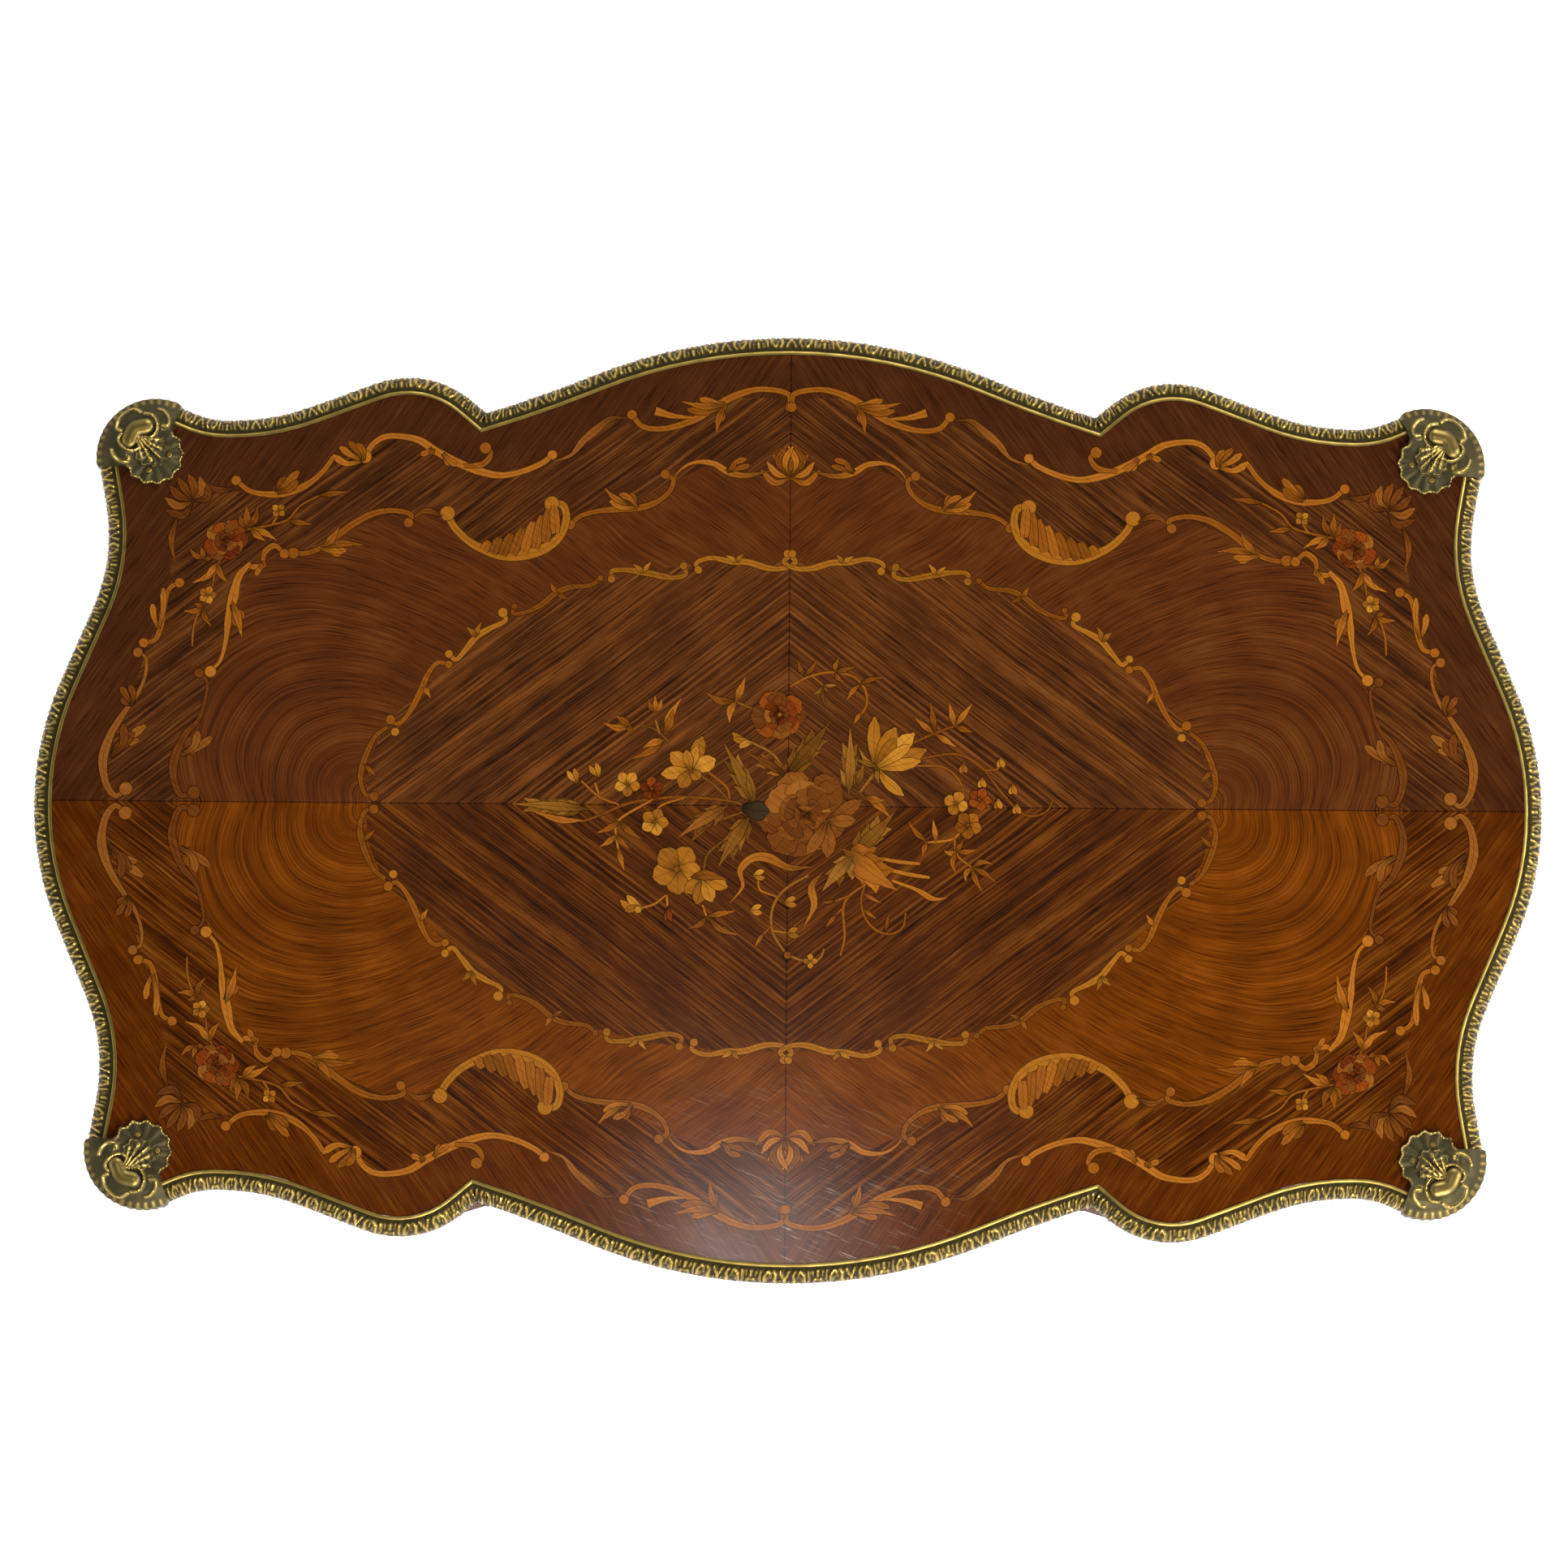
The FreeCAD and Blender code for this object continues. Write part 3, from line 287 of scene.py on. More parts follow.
def strayed(tree, leaf, eye):
    """Places on a leaf, pushed about so that streaks wander, more so where they bend round an eye."""
    detail, push = (2.5, 3 * WANDER) if eye else (1.0, WANDER)
    drift = add(tree, "TexNoise", {"Vector": leaf, "Scale": 1 / WANDER_SIZE, "Detail": detail}, out="Color")
    drift = add(tree, "VectorMath", {0: drift, 1: (0.5, 0.5, 0.5)}, operation="SUBTRACT")
    drift = add(tree, "VectorMath", {0: drift, "Scale": push}, operation="SCALE")
    return add(tree, "VectorMath", {0: leaf, 1: drift})


print("streaks stray by", WANDER / MM, "mm")

# %% [markdown]
# Sleeves have rubbed the polish at the middle of the front edge, in short pale strokes, and the strokes also
# paint the highlight of the shine there. They are streaks again, faded out with the distance from that place.

# %% Rubbed polish and painted highlight
SHEEN_WEAR_AT = (0.0, -0.40, 0.0)
SHEEN_WEAR_REACH = 0.2
SHEEN_RUB_TURN = 1.2
SHEEN_RUB_SIZE = (1.2 * MM, 30 * MM, 1)


def rubbed_and_sheen(tree, place, colour):
    """Colour with the pale strokes laid over it: worn polish and a painted highlight."""
    reach = add(tree, "VectorMath", {0: place, 1: (1, 1, 0)}, operation="MULTIPLY")
    reach = add(tree, "VectorMath", {0: reach, 1: SHEEN_WEAR_AT}, out="Value", operation="DISTANCE")
    worn = add(tree, "MapRange", {"Value": reach, 1: SHEEN_WEAR_REACH, 2: 0.02, 3: 0.0, 4: 1.0})
    turned = {"Vector": place, "Rotation": (0, 0, SHEEN_RUB_TURN), "Scale": SHEEN_RUB_SIZE}
    sheen_strokes = add(tree, "Mapping", turned, vector_type="TEXTURE")
    sheen_strokes = add(tree, "TexNoise", {"Vector": sheen_strokes, "Scale": 1.0, "Detail": 3.0, "Distortion": 0.6})
    sheen_strokes = add(tree, "MapRange", {"Value": sheen_strokes, 1: 0.6, 2: 0.78, 3: 0.0, 4: 0.55})
    worn = add(tree, "Math", {0: worn, 1: sheen_strokes}, operation="MULTIPLY")
    # pale strokes: partly worn polish, partly a painted highlight where the shine lamp's reflection lies
    return add(tree, "Mix", {"Factor": worn, 6: colour, 7: linear("#C9B8A4")}, **BLEND)


print("rubbed within", SHEEN_WEAR_REACH, "m of", SHEEN_WEAR_AT)

# %% [markdown]
# One function makes every veneer: broad bands, fine lines, fibres and a soft mottle add up to one tone that
# picks the colour. Front and back leaves were turned over, so they differ in tone. Their tones also carry
# painted light and shade, with most halves lighter at the front. The shine lies in a clear coat of polish
# over wood that has none of its own, which keeps the colour deep.

# %% Veneer material
BAND_LONG = 90              # length of a band for each mm of its width
LINE_SIZE = (2.4, 240)      # mm across and along
FIBRE_SIZE = (0.8, 34)
MOTTLE_SIZE = 41.7 * MM
HAZE_SIZE = 200 * MM
GLUE_LINE = 0.45 * MM       # half width of a joint between two leaves, drawn coarse enough to show
LIT_HALVES_SEAM = 0.4 * MM        # half width of the change between the back and front tones and their painted light
TONE_PLACES = (0.34, 0.5, 0.68)
POLISH = {"Roughness": 0.5, "Specular IOR Level": 0.0, "Coat Weight": 0.14}


def veneer(name, back, front, turn, stripe, figure, eye=None):
    """Polished veneer from back and front tones with painted light, direction, stripe in mm and strength of
    figure.
    """

    def build(tree):
        place = add(tree, "TexCoord", out="Object")
        split = add(tree, "SeparateXYZ", {0: place}, out=None)
        x = add(tree, "Math", {0: split[0]}, operation="ABSOLUTE")
        y = add(tree, "Math", {0: split[1]}, operation="ABSOLUTE")
        leaf = strayed(tree, add(tree, "CombineXYZ", {0: x, 1: y}), eye)
        turned = {"Vector": leaf, "Location": eye or (0, 0, 0), "Rotation": (0, 0, turn)}
        grain = add(tree, "Mapping", turned, vector_type="TEXTURE")
        grain = swirl(tree, grain) if eye else grain
        bands = across(tree, grain, stripe, stripe * BAND_LONG, 1.0)
        lines = across(tree, grain, *LINE_SIZE, 3.0)
        fibres = across(tree, grain, *FIBRE_SIZE, 1.5)
        mottle = add(tree, "TexNoise", {"Vector": leaf, "Scale": 1 / MOTTLE_SIZE, "Detail": 3.0})
        mixed = ((bands, figure * 0.6), (lines, figure * 1.4), (fibres, 0.26), (mottle, 0.2))
        tone = 0.5 - sum(gain for _, gain in mixed) / 2
        for noise, gain in mixed:
            tone = add(tree, "Math", {0: noise, 1: gain, 2: tone}, operation="MULTIPLY_ADD")
        # back and front tones: the turn of the leaves, plus painted light and shade on the two halves
        behind = add(tree, "ValToRGB", {"Fac": tone}, stops=zip(TONE_PLACES, back))
        ahead = add(tree, "ValToRGB", {"Fac": tone}, stops=zip(TONE_PLACES, front))
        side = add(tree, "MapRange", {"Value": split[1], 1: LIT_HALVES_SEAM, 2: -LIT_HALVES_SEAM})
        colour = add(tree, "Mix", {"Factor": side, 6: behind, 7: ahead}, **BLEND)
        pores = add(tree, "MapRange", {"Value": fibres, 1: 0.34, 2: 0.45, 3: 0.55, 4: 1.0})
        seam = add(tree, "Math", {0: x, 1: y}, operation="MINIMUM")
        seam = {"Value": seam, 1: GLUE_LINE * 0.6, 2: GLUE_LINE * 1.6, 3: 0.35, 4: 1.0}
        for shade in (pores, add(tree, "MapRange", seam)):
            colour = add(tree, "Mix", {"Factor": 1.0, 6: colour, 7: shade}, **SHADE)
        haze = add(tree, "TexNoise", {"Vector": place, "Scale": 1 / HAZE_SIZE, "Detail": 5.0})
        gloss = add(tree, "MapRange", {"Value": haze, 1: 0.3, 2: 0.7, 3: 0.1, 4: 0.2})
        dent = add(tree, "Bump", {"Height": pores, "Strength": 0.35, "Distance": 0.08 * MM})
        return {"Base Color": rubbed_and_sheen(tree, place, colour), "Normal": dent, "Coat Roughness": gloss, **POLISH}

    return finish_material(name, build)


print("tones meet at", TONE_PLACES)

# %% [markdown]
# The centre and the band are striped palisander whose stripes meet as diamonds, the field is mahogany with
# a swirl where a branch grew, and the border is straight mahogany. Each gets its own direction, stripe and
# tones.

# %% Four veneers
STRIPE_TURN = math.radians(53)      # direction across the stripes, in the back right quarter
FIELD_TURN = math.radians(128)
BORDER_TURN = math.radians(35)
FIELD_EYE = (0.352, 0.0, 0.0)       # where the branch grew, in the back right quarter
VENEERS = {                         # node: material, tones behind and in front, direction, stripe, figure
    "veneer_centre": (
        "palisander_centre", ("#241106", "#4D280F", "#78451B"), ("#200E05", "#482209", "#713F12"),
        STRIPE_TURN, 5.0, 0.46),
    "veneer_band": (
        "palisander_band", ("#221006", "#46230C", "#6E401A"), ("#200B02", "#4A2104", "#7A4410"),
        STRIPE_TURN, 5.0, 0.46),
    "veneer_field": (
        "mahogany_field", ("#32180A", "#50270D", "#6C3C18"), ("#381802", "#5E2C04", "#88480F"),
        FIELD_TURN, 9.0, 0.2, FIELD_EYE),
    "veneer_border": (
        "mahogany_border", ("#2A1206", "#401F0B", "#583015"), ("#321302", "#4E2203", "#703A08"),
        BORDER_TURN, 9.0, 0.22),
}
for node, finish in VENEERS.items():
    dress([node], veneer(*finish))
    print(node, "in", finish[0])

# %% [markdown]
# ## Cast edge moulding
# The metal edge is cast in lengths that meet at the notches and under the corner clasps. The new edge has
# to follow the same curve as the wood, so the outline is read from the upper face of the border veneer: the
# edges that have only one face looking up form its rim, and a walk from neighbour to neighbour puts them in
# order.

# %% Outline of the top
SHARP_TURN = 0.6            # radians; the outline turns more than this only at a notch


def outer_line(name):
    """Points round the upper face of a flat node, clockwise from above, starting anywhere."""
    flat = bmesh.new()
    flat.from_mesh(nodes[name].data)
    bmesh.ops.remove_doubles(flat, verts=flat.verts, dist=1e-6)
    rim = {}
    for edge in flat.edges:
        up = [f for f in edge.link_faces if f.normal.z > 0.9]
        if len(up) == 1:
            a, b = edge.verts
            rim.setdefault(a, []).append(b)
            rim.setdefault(b, []).append(a)
    start = max(rim, key=lambda v: v.co.x)
    line, before, at = [start], start, rim[start][0]
    while at is not start:
        line.append(at)
        onward = [v for v in rim[at] if v is not before]
        before, at = at, onward[0]
    points = [Vector((v.co.x, v.co.y, 0)) for v in line]
    flat.free()
    area = sum(a.x * b.y - b.x * a.y for a, b in zip(points, points[1:] + points[:1]))
    return points[::-1] if area > 0 else points


def bend_at(i):
    """Turn of the outline at a point, in radians."""
    a, b, c = outline[i - 1], outline[i], outline[(i + 1) % len(outline)]
    return (b - a).to_2d().angle_signed((c - b).to_2d())


outline = outer_line("veneer_border")
notches = [i for i in range(len(outline)) if abs(bend_at(i)) > SHARP_TURN]
corners = [max(range(len(outline)), key=lambda i: outline[i].x * sx + outline[i].y * sy * 2)
           for sx in (-1, 1) for sy in (-1, 1)]
print("outline", len(outline), "points, notches", len(notches), "corners", len(corners))

# %% [markdown]
# The section is a flat bright fillet next to the wood, a rounded face and a bead below it. The face is
# chased with darts, leaves, curls and trefoils that repeat every 54 mm. A modelled ornament could be copied
# along the edge, but on a curve its copies would gape, so the relief is a height instead: short strokes
# with soft sides.

# %% Section and relief of the moulding
REPEAT = 54.0               # mm of one dart, leaf, curl and trefoil
FACE_POINTS = 15
FACE_LONG = 24.0            # mm along the rounded face
FACE_OUT, FACE_REACH, FACE_POWER = 3.6, 13.4, 0.9
FACE_TOP, FACE_DROP = -0.6, 21.4
FILLET = [(0.15, -27.0), (0.15, 0.5), (0.5, 0.9), (2.5, 0.9), (3.0, 0.5), (3.2, -0.5)]
BEAD = [(16.2, -22.4), (17.0, -23.4), (17.0, -26.0), (16.2, -27.0)]
RELIEF = [                  # strokes: (along, down, along, down, width, height); down is a share of the face
    (0, 0.86, 0, 0.5, 1.0, 1.0), (0, 0.54, 3.6, 0.14, 0.9, 1.0), (2.4, 0.84, 3.4, 0.56, 0.8, 0.7),
    (5.6, 0.86, 8.0, 0.58, 1.5, 0.95), (8.0, 0.58, 7.0, 0.3, 1.2, 0.9), (7.0, 0.3, 9.2, 0.12, 1.0, 0.95),
    (10.6, 0.84, 11.2, 0.62, 0.9, 0.7), (11.0, 0.46, 11.8, 0.16, 0.8, 0.75),
    (13.2, 0.14, 16.4, 0.34, 1.1, 0.95), (16.4, 0.34, 16.6, 0.66, 1.2, 0.9),
    (16.6, 0.66, 13.8, 0.84, 1.0, 0.85), (13.6, 0.4, 14.4, 0.62, 0.8, 0.7),
    (19.4, 0.16, 20.2, 0.5, 1.0, 0.85), (20.2, 0.5, 18.8, 0.84, 0.9, 0.8), (22.6, 0.14, 23.2, 0.34, 0.8, 0.7),
    (27, 0.14, 27, 0.36, 1.2, 0.95), (27, 0.56, 24.2, 0.5, 1.2, 0.9), (24.2, 0.5, 23.4, 0.78, 1.0, 0.85),
    (27, 0.84, 27, 0.7, 1.0, 0.8),
]


def stroke_height(along, down):
    """Height of the chased relief, 0 to 1, at a place of the repeat and of the rounded face."""
    best = 0.0
    for a0, q0, a1, q1, wide, high in RELIEF:
        v0, v1, v = q0 * FACE_LONG, q1 * FACE_LONG, down * FACE_LONG
        da, dv = a1 - a0, v1 - v0
        t = min(max(((along - a0) * da + (v - v0) * dv) / (da * da + dv * dv), 0), 1)
        off = math.hypot(along - a0 - da * t, v - v0 - dv * t)
        best = max(best, high * math.exp(-(off / wide) ** 2))
    return best


def moulding_section():
    """Section from the wood's side over the top and down: (out, up, place on the rounded face or None)."""
    points = [(u, z, None) for u, z in FILLET]
    for i in range(FACE_POINTS):
        q = i / (FACE_POINTS - 1)
        angle = q * math.pi / 2
        out = FACE_OUT + FACE_REACH * math.sin(angle) ** FACE_POWER
        points.append((out, FACE_TOP - FACE_DROP * (1 - math.cos(angle)), q))
    return points + [(u, z, None) for u, z in BEAD]


SECTION = moulding_section()
print("section", len(SECTION), "points, relief", len(RELIEF), "strokes")

# %% [markdown]
# No single operator keeps a relief in step with a curved outline, so the section is carried along ring by
# ring and each ring's points are lifted by the relief. Near a notch the rings lean over until they lie in
# the mitre. The lift fades towards the bead, so that the silhouette stays clean, and is kept on the mesh as
# an attribute.

# %% Rings along one length
RING_STEP = 1.3             # mm between rings
LIFT = 1.9                  # mm of relief
LIFT_END = 0.94             # place on the rounded face where the relief has faded out
LEAN = 40 * MM              # how far from a mitre the rings start to lean
FILLET_SHINE, BEAD_SHINE = 0.6, 0.35


def resample(points, step):
    """Points at equal steps along a line, with the line's length."""
    reach = [0.0]
    for a, b in zip(points, points[1:]):
        reach.append(reach[-1] + (b - a).length)
    count = max(int(reach[-1] / step), 2)
    line, k = [], 0
    for i in range(count + 1):
        want = reach[-1] * i / count
        while k < len(points) - 2 and reach[k + 1] < want:
            k += 1
        line.append(points[k].lerp(points[k + 1], (want - reach[k]) / max(reach[k + 1] - reach[k], 1e-9)))
    return line, reach[-1]


def length_mesh(points, start_mitre, end_mitre):
    """Vertices, faces and relief of one cast length. A mitre is half the turn at a notch, 0 elsewhere."""
    line, long = resample(points, RING_STEP * MM)
    last = len(line) - 1
    repeats = max(round(long / MM / REPEAT), 1)
    verts, lifts = [], []
    for i, p in enumerate(line):
        s = long * i / last
        along = (line[min(i + 2, last)] - line[max(i - 2, 0)]).normalized()
        out = Vector((-along.y, along.x, 0))
        phase = (s / long * repeats) % 1.0
        dart = min(phase, 1 - phase) * REPEAT
        lean = math.tan(start_mitre) * max(0.0, 1 - s / LEAN)
        lean -= math.tan(end_mitre) * max(0.0, 1 - (long - s) / LEAN)
        for k, (u, z, q) in enumerate(SECTION):
            lift, slope = 0.0, 0.0
            shine = FILLET_SHINE if 2 <= k < len(FILLET) else BEAD_SHINE
            if q is not None:
                lift = stroke_height(dart, q) * min(1, q * 9, max(LIFT_END - q, 0) * 6)
                slope, shine = q * math.pi / 2, lift
            wide = (u + lift * LIFT * math.sin(slope)) * MM
            place = p + out * wide + along * wide * lean
            verts.append((place.x, place.y, top_z + (z + lift * LIFT * math.cos(slope)) * MM))
            lifts.append(shine)
    n = len(SECTION)
    faces = [tuple(range(n))[::-1], tuple(range(last * n, last * n + n))]
    for i in range(last):
        for k in range(n):
            j = (k + 1) % n
            faces.append((i * n + k, i * n + j, (i + 1) * n + j, (i + 1) * n + k))
    return verts, faces, lifts


def relief_piece(name, verts, faces, relief, material):
    """Object from computed points, with the relief of each point as an attribute."""
    mesh = bpy.data.meshes.new(name)
    mesh.from_pydata(verts, [], faces)
    mesh.attributes.new("relief", "FLOAT", "POINT").data.foreach_set("value", relief)
    mesh.materials.append(material)
    made = new_piece(name, mesh)
    bpy.ops.object.mode_set(mode="EDIT")
    bpy.ops.mesh.select_all(action="SELECT")
    bpy.ops.mesh.normals_make_consistent(inside=False)
    bpy.ops.object.mode_set(mode="OBJECT")
    bpy.ops.object.shade_smooth_by_angle(angle=math.radians(40))
    return made


print("rings every", RING_STEP, "mm, relief", LIFT, "mm high")

# %% [markdown]
# The metal is cast bronze, chased and then fire-gilt. Gilding is bright where hands and cloths rub it and
# the hollows hold brown-green patina, so the colour and the roughness follow the relief kept on the mesh,
# and places that see little sky are darkened with painted shade. Smooth mounts have soft patches instead.

# %% Gilt bronze
STAIN_SIZE = 14.3 * MM
GRIT_SIZE = 1.11 * MM       # sand of the mould, drawn coarse enough to show
HOLLOW = 5 * MM             # how far round a place is searched for the painted shade of a hollow


def gilt_bronze(name, tones, on_relief=True):
    """Gilt bronze in dark, middle and bright tones, which follow the mesh's relief or lie in soft patches."""

    def build(tree):
        place = add(tree, "TexCoord", out="Object")
        stain = add(tree, "TexNoise", {"Vector": place, "Scale": 1 / STAIN_SIZE, "Detail": 4.0})
        if on_relief:
            height = add(tree, "Attribute", out="Fac", attribute_name="relief")
            rub = add(tree, "Math", {0: stain, 1: 0.5, 2: -0.25}, operation="MULTIPLY_ADD")
            height = add(tree, "Math", {0: height, 1: rub})
        else:
            height = add(tree, "MapRange", {"Value": stain, 1: 0.3, 2: 0.7, 3: 0.5, 4: 0.85})
        colour = add(tree, "ValToRGB", {"Fac": height}, stops=zip((0.1, 0.45, 0.95), tones))
        # painted shade: the colour darkens where little sky reaches, in hollows and creases
        sky = add(tree, "AmbientOcclusion", {"Distance": HOLLOW}, out="AO", only_local=True, samples=8)
        hollow_shade = add(tree, "MapRange", {"Value": sky, 1: 0.3, 2: 0.9, 3: 0.3, 4: 1.0})
        colour = add(tree, "Mix", {"Factor": 1.0, 6: colour, 7: hollow_shade}, **SHADE)
        rough = add(tree, "MapRange", {"Value": height, 1: 0.0, 2: 1.0, 3: 0.6, 4: 0.24})
        grit = add(tree, "TexNoise", {"Vector": place, "Scale": 1 / GRIT_SIZE, "Detail": 2.0})
        pitted = add(tree, "Bump", {"Height": grit, "Strength": 0.25, "Distance": 0.1 * MM})
        return {"Base Color": colour, "Metallic": 1.0, "Roughness": rough, "Normal": pitted}

    return finish_material(name, build)


chased_bronze = gilt_bronze("gilt_bronze_chased", ("#3A321C", "#705E30", "#CDAE58"))
dull_bronze = gilt_bronze("gilt_bronze_dull_ground", ("#453E2A", "#6A5C36", "#B29850"))
smooth_bronze = gilt_bronze("gilt_bronze_smooth", ("#4C4126", "#7C6836", "#BC9C50"), on_relief=False)
worn_bronze = gilt_bronze("gilt_bronze_worn", ("#6E5E36", "#92804A", "#CCAE60"))
print("bronze finishes", [m.name for m in (chased_bronze, dull_bronze, smooth_bronze, worn_bronze)])

# %% [markdown]
# The outline is cut at the notches and corners. A length between two corners is one end of the desk; the
# others belong to the front or the back, three to each, and are joined to one piece per side as the frame
# has it.

# %% The four sides of the edge
cuts = sorted(notches + corners)
lengths = {"front": [], "back": [], "left": [], "right": []}
for here, there in zip(cuts, cuts[1:] + [cuts[0] + len(outline)]):
    run = [outline[i % len(outline)] for i in range(here, there + 1)]
    ends = (here, there % len(outline))
    middle = run[len(run) // 2]
    side = "back" if middle.y > 0 else "front"
    if all(i in corners for i in ends):
        side = "right" if middle.x > 0 else "left"
    mitres = [abs(bend_at(i)) / 2 if i in notches else 0 for i in ends]
    lengths[side].append(length_mesh(run, *mitres))

for side, parts in lengths.items():
    verts, faces, lifts = [], [], []
    for part_verts, part_faces, part_lifts in parts:
        faces += [tuple(i + len(verts) for i in face) for face in part_faces]
        verts += part_verts
        lifts += part_lifts
    edge = relief_piece("chased_edge_" + side, verts, faces, lifts, chased_bronze)
    cast_mount(edge, "edge_moulding_" + side)
    print(edge.name, len(parts), "lengths", len(faces), "faces")

# %% [markdown]
# ## Marquetry
# The scrolls, sprays and the bouquet are thin pieces of lighter woods, sawn out and let into the ground
# flush with it. Hot sand scorched their edges for shading, and a dark line of glue and a few engraved veins
# outline them. Every piece is drawn as one smooth stroke: a centre line with a width that swells and
# tapers, so a strap, a leaf, a petal and a stem differ only in their profile.

# %% Lines and profiles
STRAP = (0.7, 0.75, 1.0, 1.0, 0.75, 0.7)        # profiles are shares of the half width, from root to tip
LEAF = (0.12, 0.7, 1.0, 0.8, 0.4, 0.03)
PETAL = (0.3, 0.55, 0.85, 1.0, 0.85, 0.2)
LOBE = (0.55, 0.6, 0.7, 0.9, 1.0, 0.5)
BELLY = (0.45, 0.5, 0.65, 1.0, 1.35, 1.0, 0.6)
RIBBON = (0.25, 0.5, 0.75, 1.0)
FLUTE = (0.8, 1.0, 1.0, 0.95, 0.6)
STEM = (0.8, 1.0, 1.0, 0.7)
CUT_STEM = (0.5, 0.6, 1.0, 0.1)
SCORCHED = (LEAF, PETAL, LOBE)  # profiles that are shaded from a dark root
STROKE_STEP = 1.4               # mm between rings of a stroke


def smooth_line(points):
    """Curve through given points, in mm, sampled evenly enough for a stroke."""
    ends = [points[0] * 2 - points[1]] + points + [points[-1] * 2 - points[-2]]
    line = []
    for a, b, c, d in zip(ends, ends[1:], ends[2:], ends[3:]):
        count = max(int((c - b).length / STROKE_STEP), 2)
        for i in range(count):
            t = i / count
            line.append(0.5 * (b * 2 + (c - a) * t + (a * 2 - b * 5 + c * 4 - d) * t * t
                               + (b * 3 - a - c * 3 + d) * t ** 3))
    return line + [points[-1]]


def swell(profile, t):
    """Width of a profile at a part of its length."""
    at = min(t, 0.9999) * (len(profile) - 1)
    i = int(at)
    f = at - i
    f = f * f * (3 - 2 * f)
    return profile[i] * (1 - f) + profile[i + 1] * f


print("a leaf is widest at", max(range(101), key=lambda i: swell(LEAF, i / 100)), "per cent of its length")

# %% [markdown]
# Places were read from the photograph, in its pixels, and are turned to millimetres here. Later
# strokes cover earlier ones, so each lies a hair over the one before. Every point carries its distance to
# the edge, the half width, the place along the piece and a tint of its own for the shading. Scrolls and
# corner sprays repeat in the four quarters; the bouquet is drawn once.

# %% Strokes of wood
PHOTO_MIDDLE = (971, 993)   # pixel over the middle of the top
PHOTO_MM = 0.698            # millimetres of the top in one pixel
QUARTERS = [(1, 1), (-1, 1), (1, -1), (-1, -1)]
ONCE = [(1, 1)]
GLUE_ROOM = 0.25            # mm added to a half width, because the dark glue line takes that much of it
BASE_LIFT = 0.03            # mm that the first stroke lies over the ground
LAYER = 0.002               # mm that each stroke lies over the one before
BALL_SIDES = 16
BALL_SHADE = 0.7            # place along a piece whose shading a ball takes

laid = {}                   # points and faces of each wood
layer = itertools.count(1)
random.seed(7)


def pixel(p):
    """Place of a photo pixel on the top, in mm."""
    return Vector(((p[0] - PHOTO_MIDDLE[0]) * PHOTO_MM, (PHOTO_MIDDLE[1] - p[1]) * PHOTO_MM))


def put(wood, rings, faces, level, copy, turned):
    """Keep a stroke's points (x, y, edge, half, along, tint) for the wood's mesh."""
    store = laid.setdefault(wood, {"verts": [], "faces": [], "cut": [], "count": 0})
    first = len(store["verts"])
    store["count"] += 1
    z = top_z + (BASE_LIFT + LAYER * (level + copy / 4)) * MM
    for x, y, edge, half, along, tint in rings:
        store["verts"].append((x * MM, y * MM, z))
        store["cut"] += [edge / 10, half / 10, along, tint]
    for face in faces:
        store["faces"].append(tuple(first + i for i in (face[::-1] if turned else face)))


def stroke(wood, half, points, profile=LEAF, where=QUARTERS):
    """One inlaid piece along pixel points; half is its greatest half width in mm. Gives back its tint."""
    line = smooth_line([pixel(p) for p in points])
    tint = random.random()
    level = next(layer)
    last = len(line) - 1
    for copy, (sx, sy) in enumerate(where):
        rings = []
        for i, p in enumerate(line):
            ahead = (line[min(i + 1, last)] - line[max(i - 1, 0)]).normalized()
            wide = half * swell(profile, i / last) + GLUE_ROOM
            side = Vector((-ahead.y, ahead.x)) * wide
            along = i / last if profile in SCORCHED else 0.5
            for q, edge in ((p + side, 0.0), (p, wide), (p - side, 0.0)):
                rings.append((q.x * sx, q.y * sy, edge, wide, along, tint))
        faces = []
        for a in range(0, last * 3, 3):
            faces += [(a + 1, a + 4, a + 3, a), (a + 2, a + 5, a + 4, a + 1)]
        put(wood, rings, faces, level, copy, sx * sy < 0)
    return tint


def ball(wood, at, radius, tint=0.5, where=QUARTERS):
    """Round end of a scroll, or a berry; radius in mm."""
    middle = pixel(at)
    level = next(layer)
    for copy, (sx, sy) in enumerate(where):
        rings = [(middle.x * sx, middle.y * sy, radius, radius, BALL_SHADE, tint)]
        for i in range(BALL_SIDES):
            angle = 2 * math.pi * i / BALL_SIDES
            x, y = middle.x + radius * math.cos(angle), middle.y + radius * math.sin(angle)
            rings.append((x * sx, y * sy, 0.0, radius, BALL_SHADE, tint))
        faces = [(0, 1 + i, 1 + (i + 1) % BALL_SIDES) for i in range(BALL_SIDES)]
        put(wood, rings, faces, level, copy, sx * sy < 0)


print("one pixel is", PHOTO_MM, "mm on the top")

# %% [markdown]
# Most pieces belong to a few kinds: a scroll with balled ends, a spray of leaves from one root, single
# leaflets and a lobed leaf. A drawing is then a list of rows, each with the kind and what it needs, in the
# order of the layers.

# %% Scrolls and leaves
BALL_GROW = 1.1
SPRAY_BOW = 0.12            # sideways bow of the outer leaves of a spray, for each step from its middle


def scroll(wood, half, points, start=None, end=None, profile=STRAP, where=QUARTERS):
    """Strap that runs through points, with a ball of some pixels' radius at either end."""
    tint = stroke(wood, half, points, profile, where)
    for size, at in ((start, points[0]), (end, points[-1])):
        if size:
            ball(wood, at, size * BALL_GROW * PHOTO_MM, tint, where)


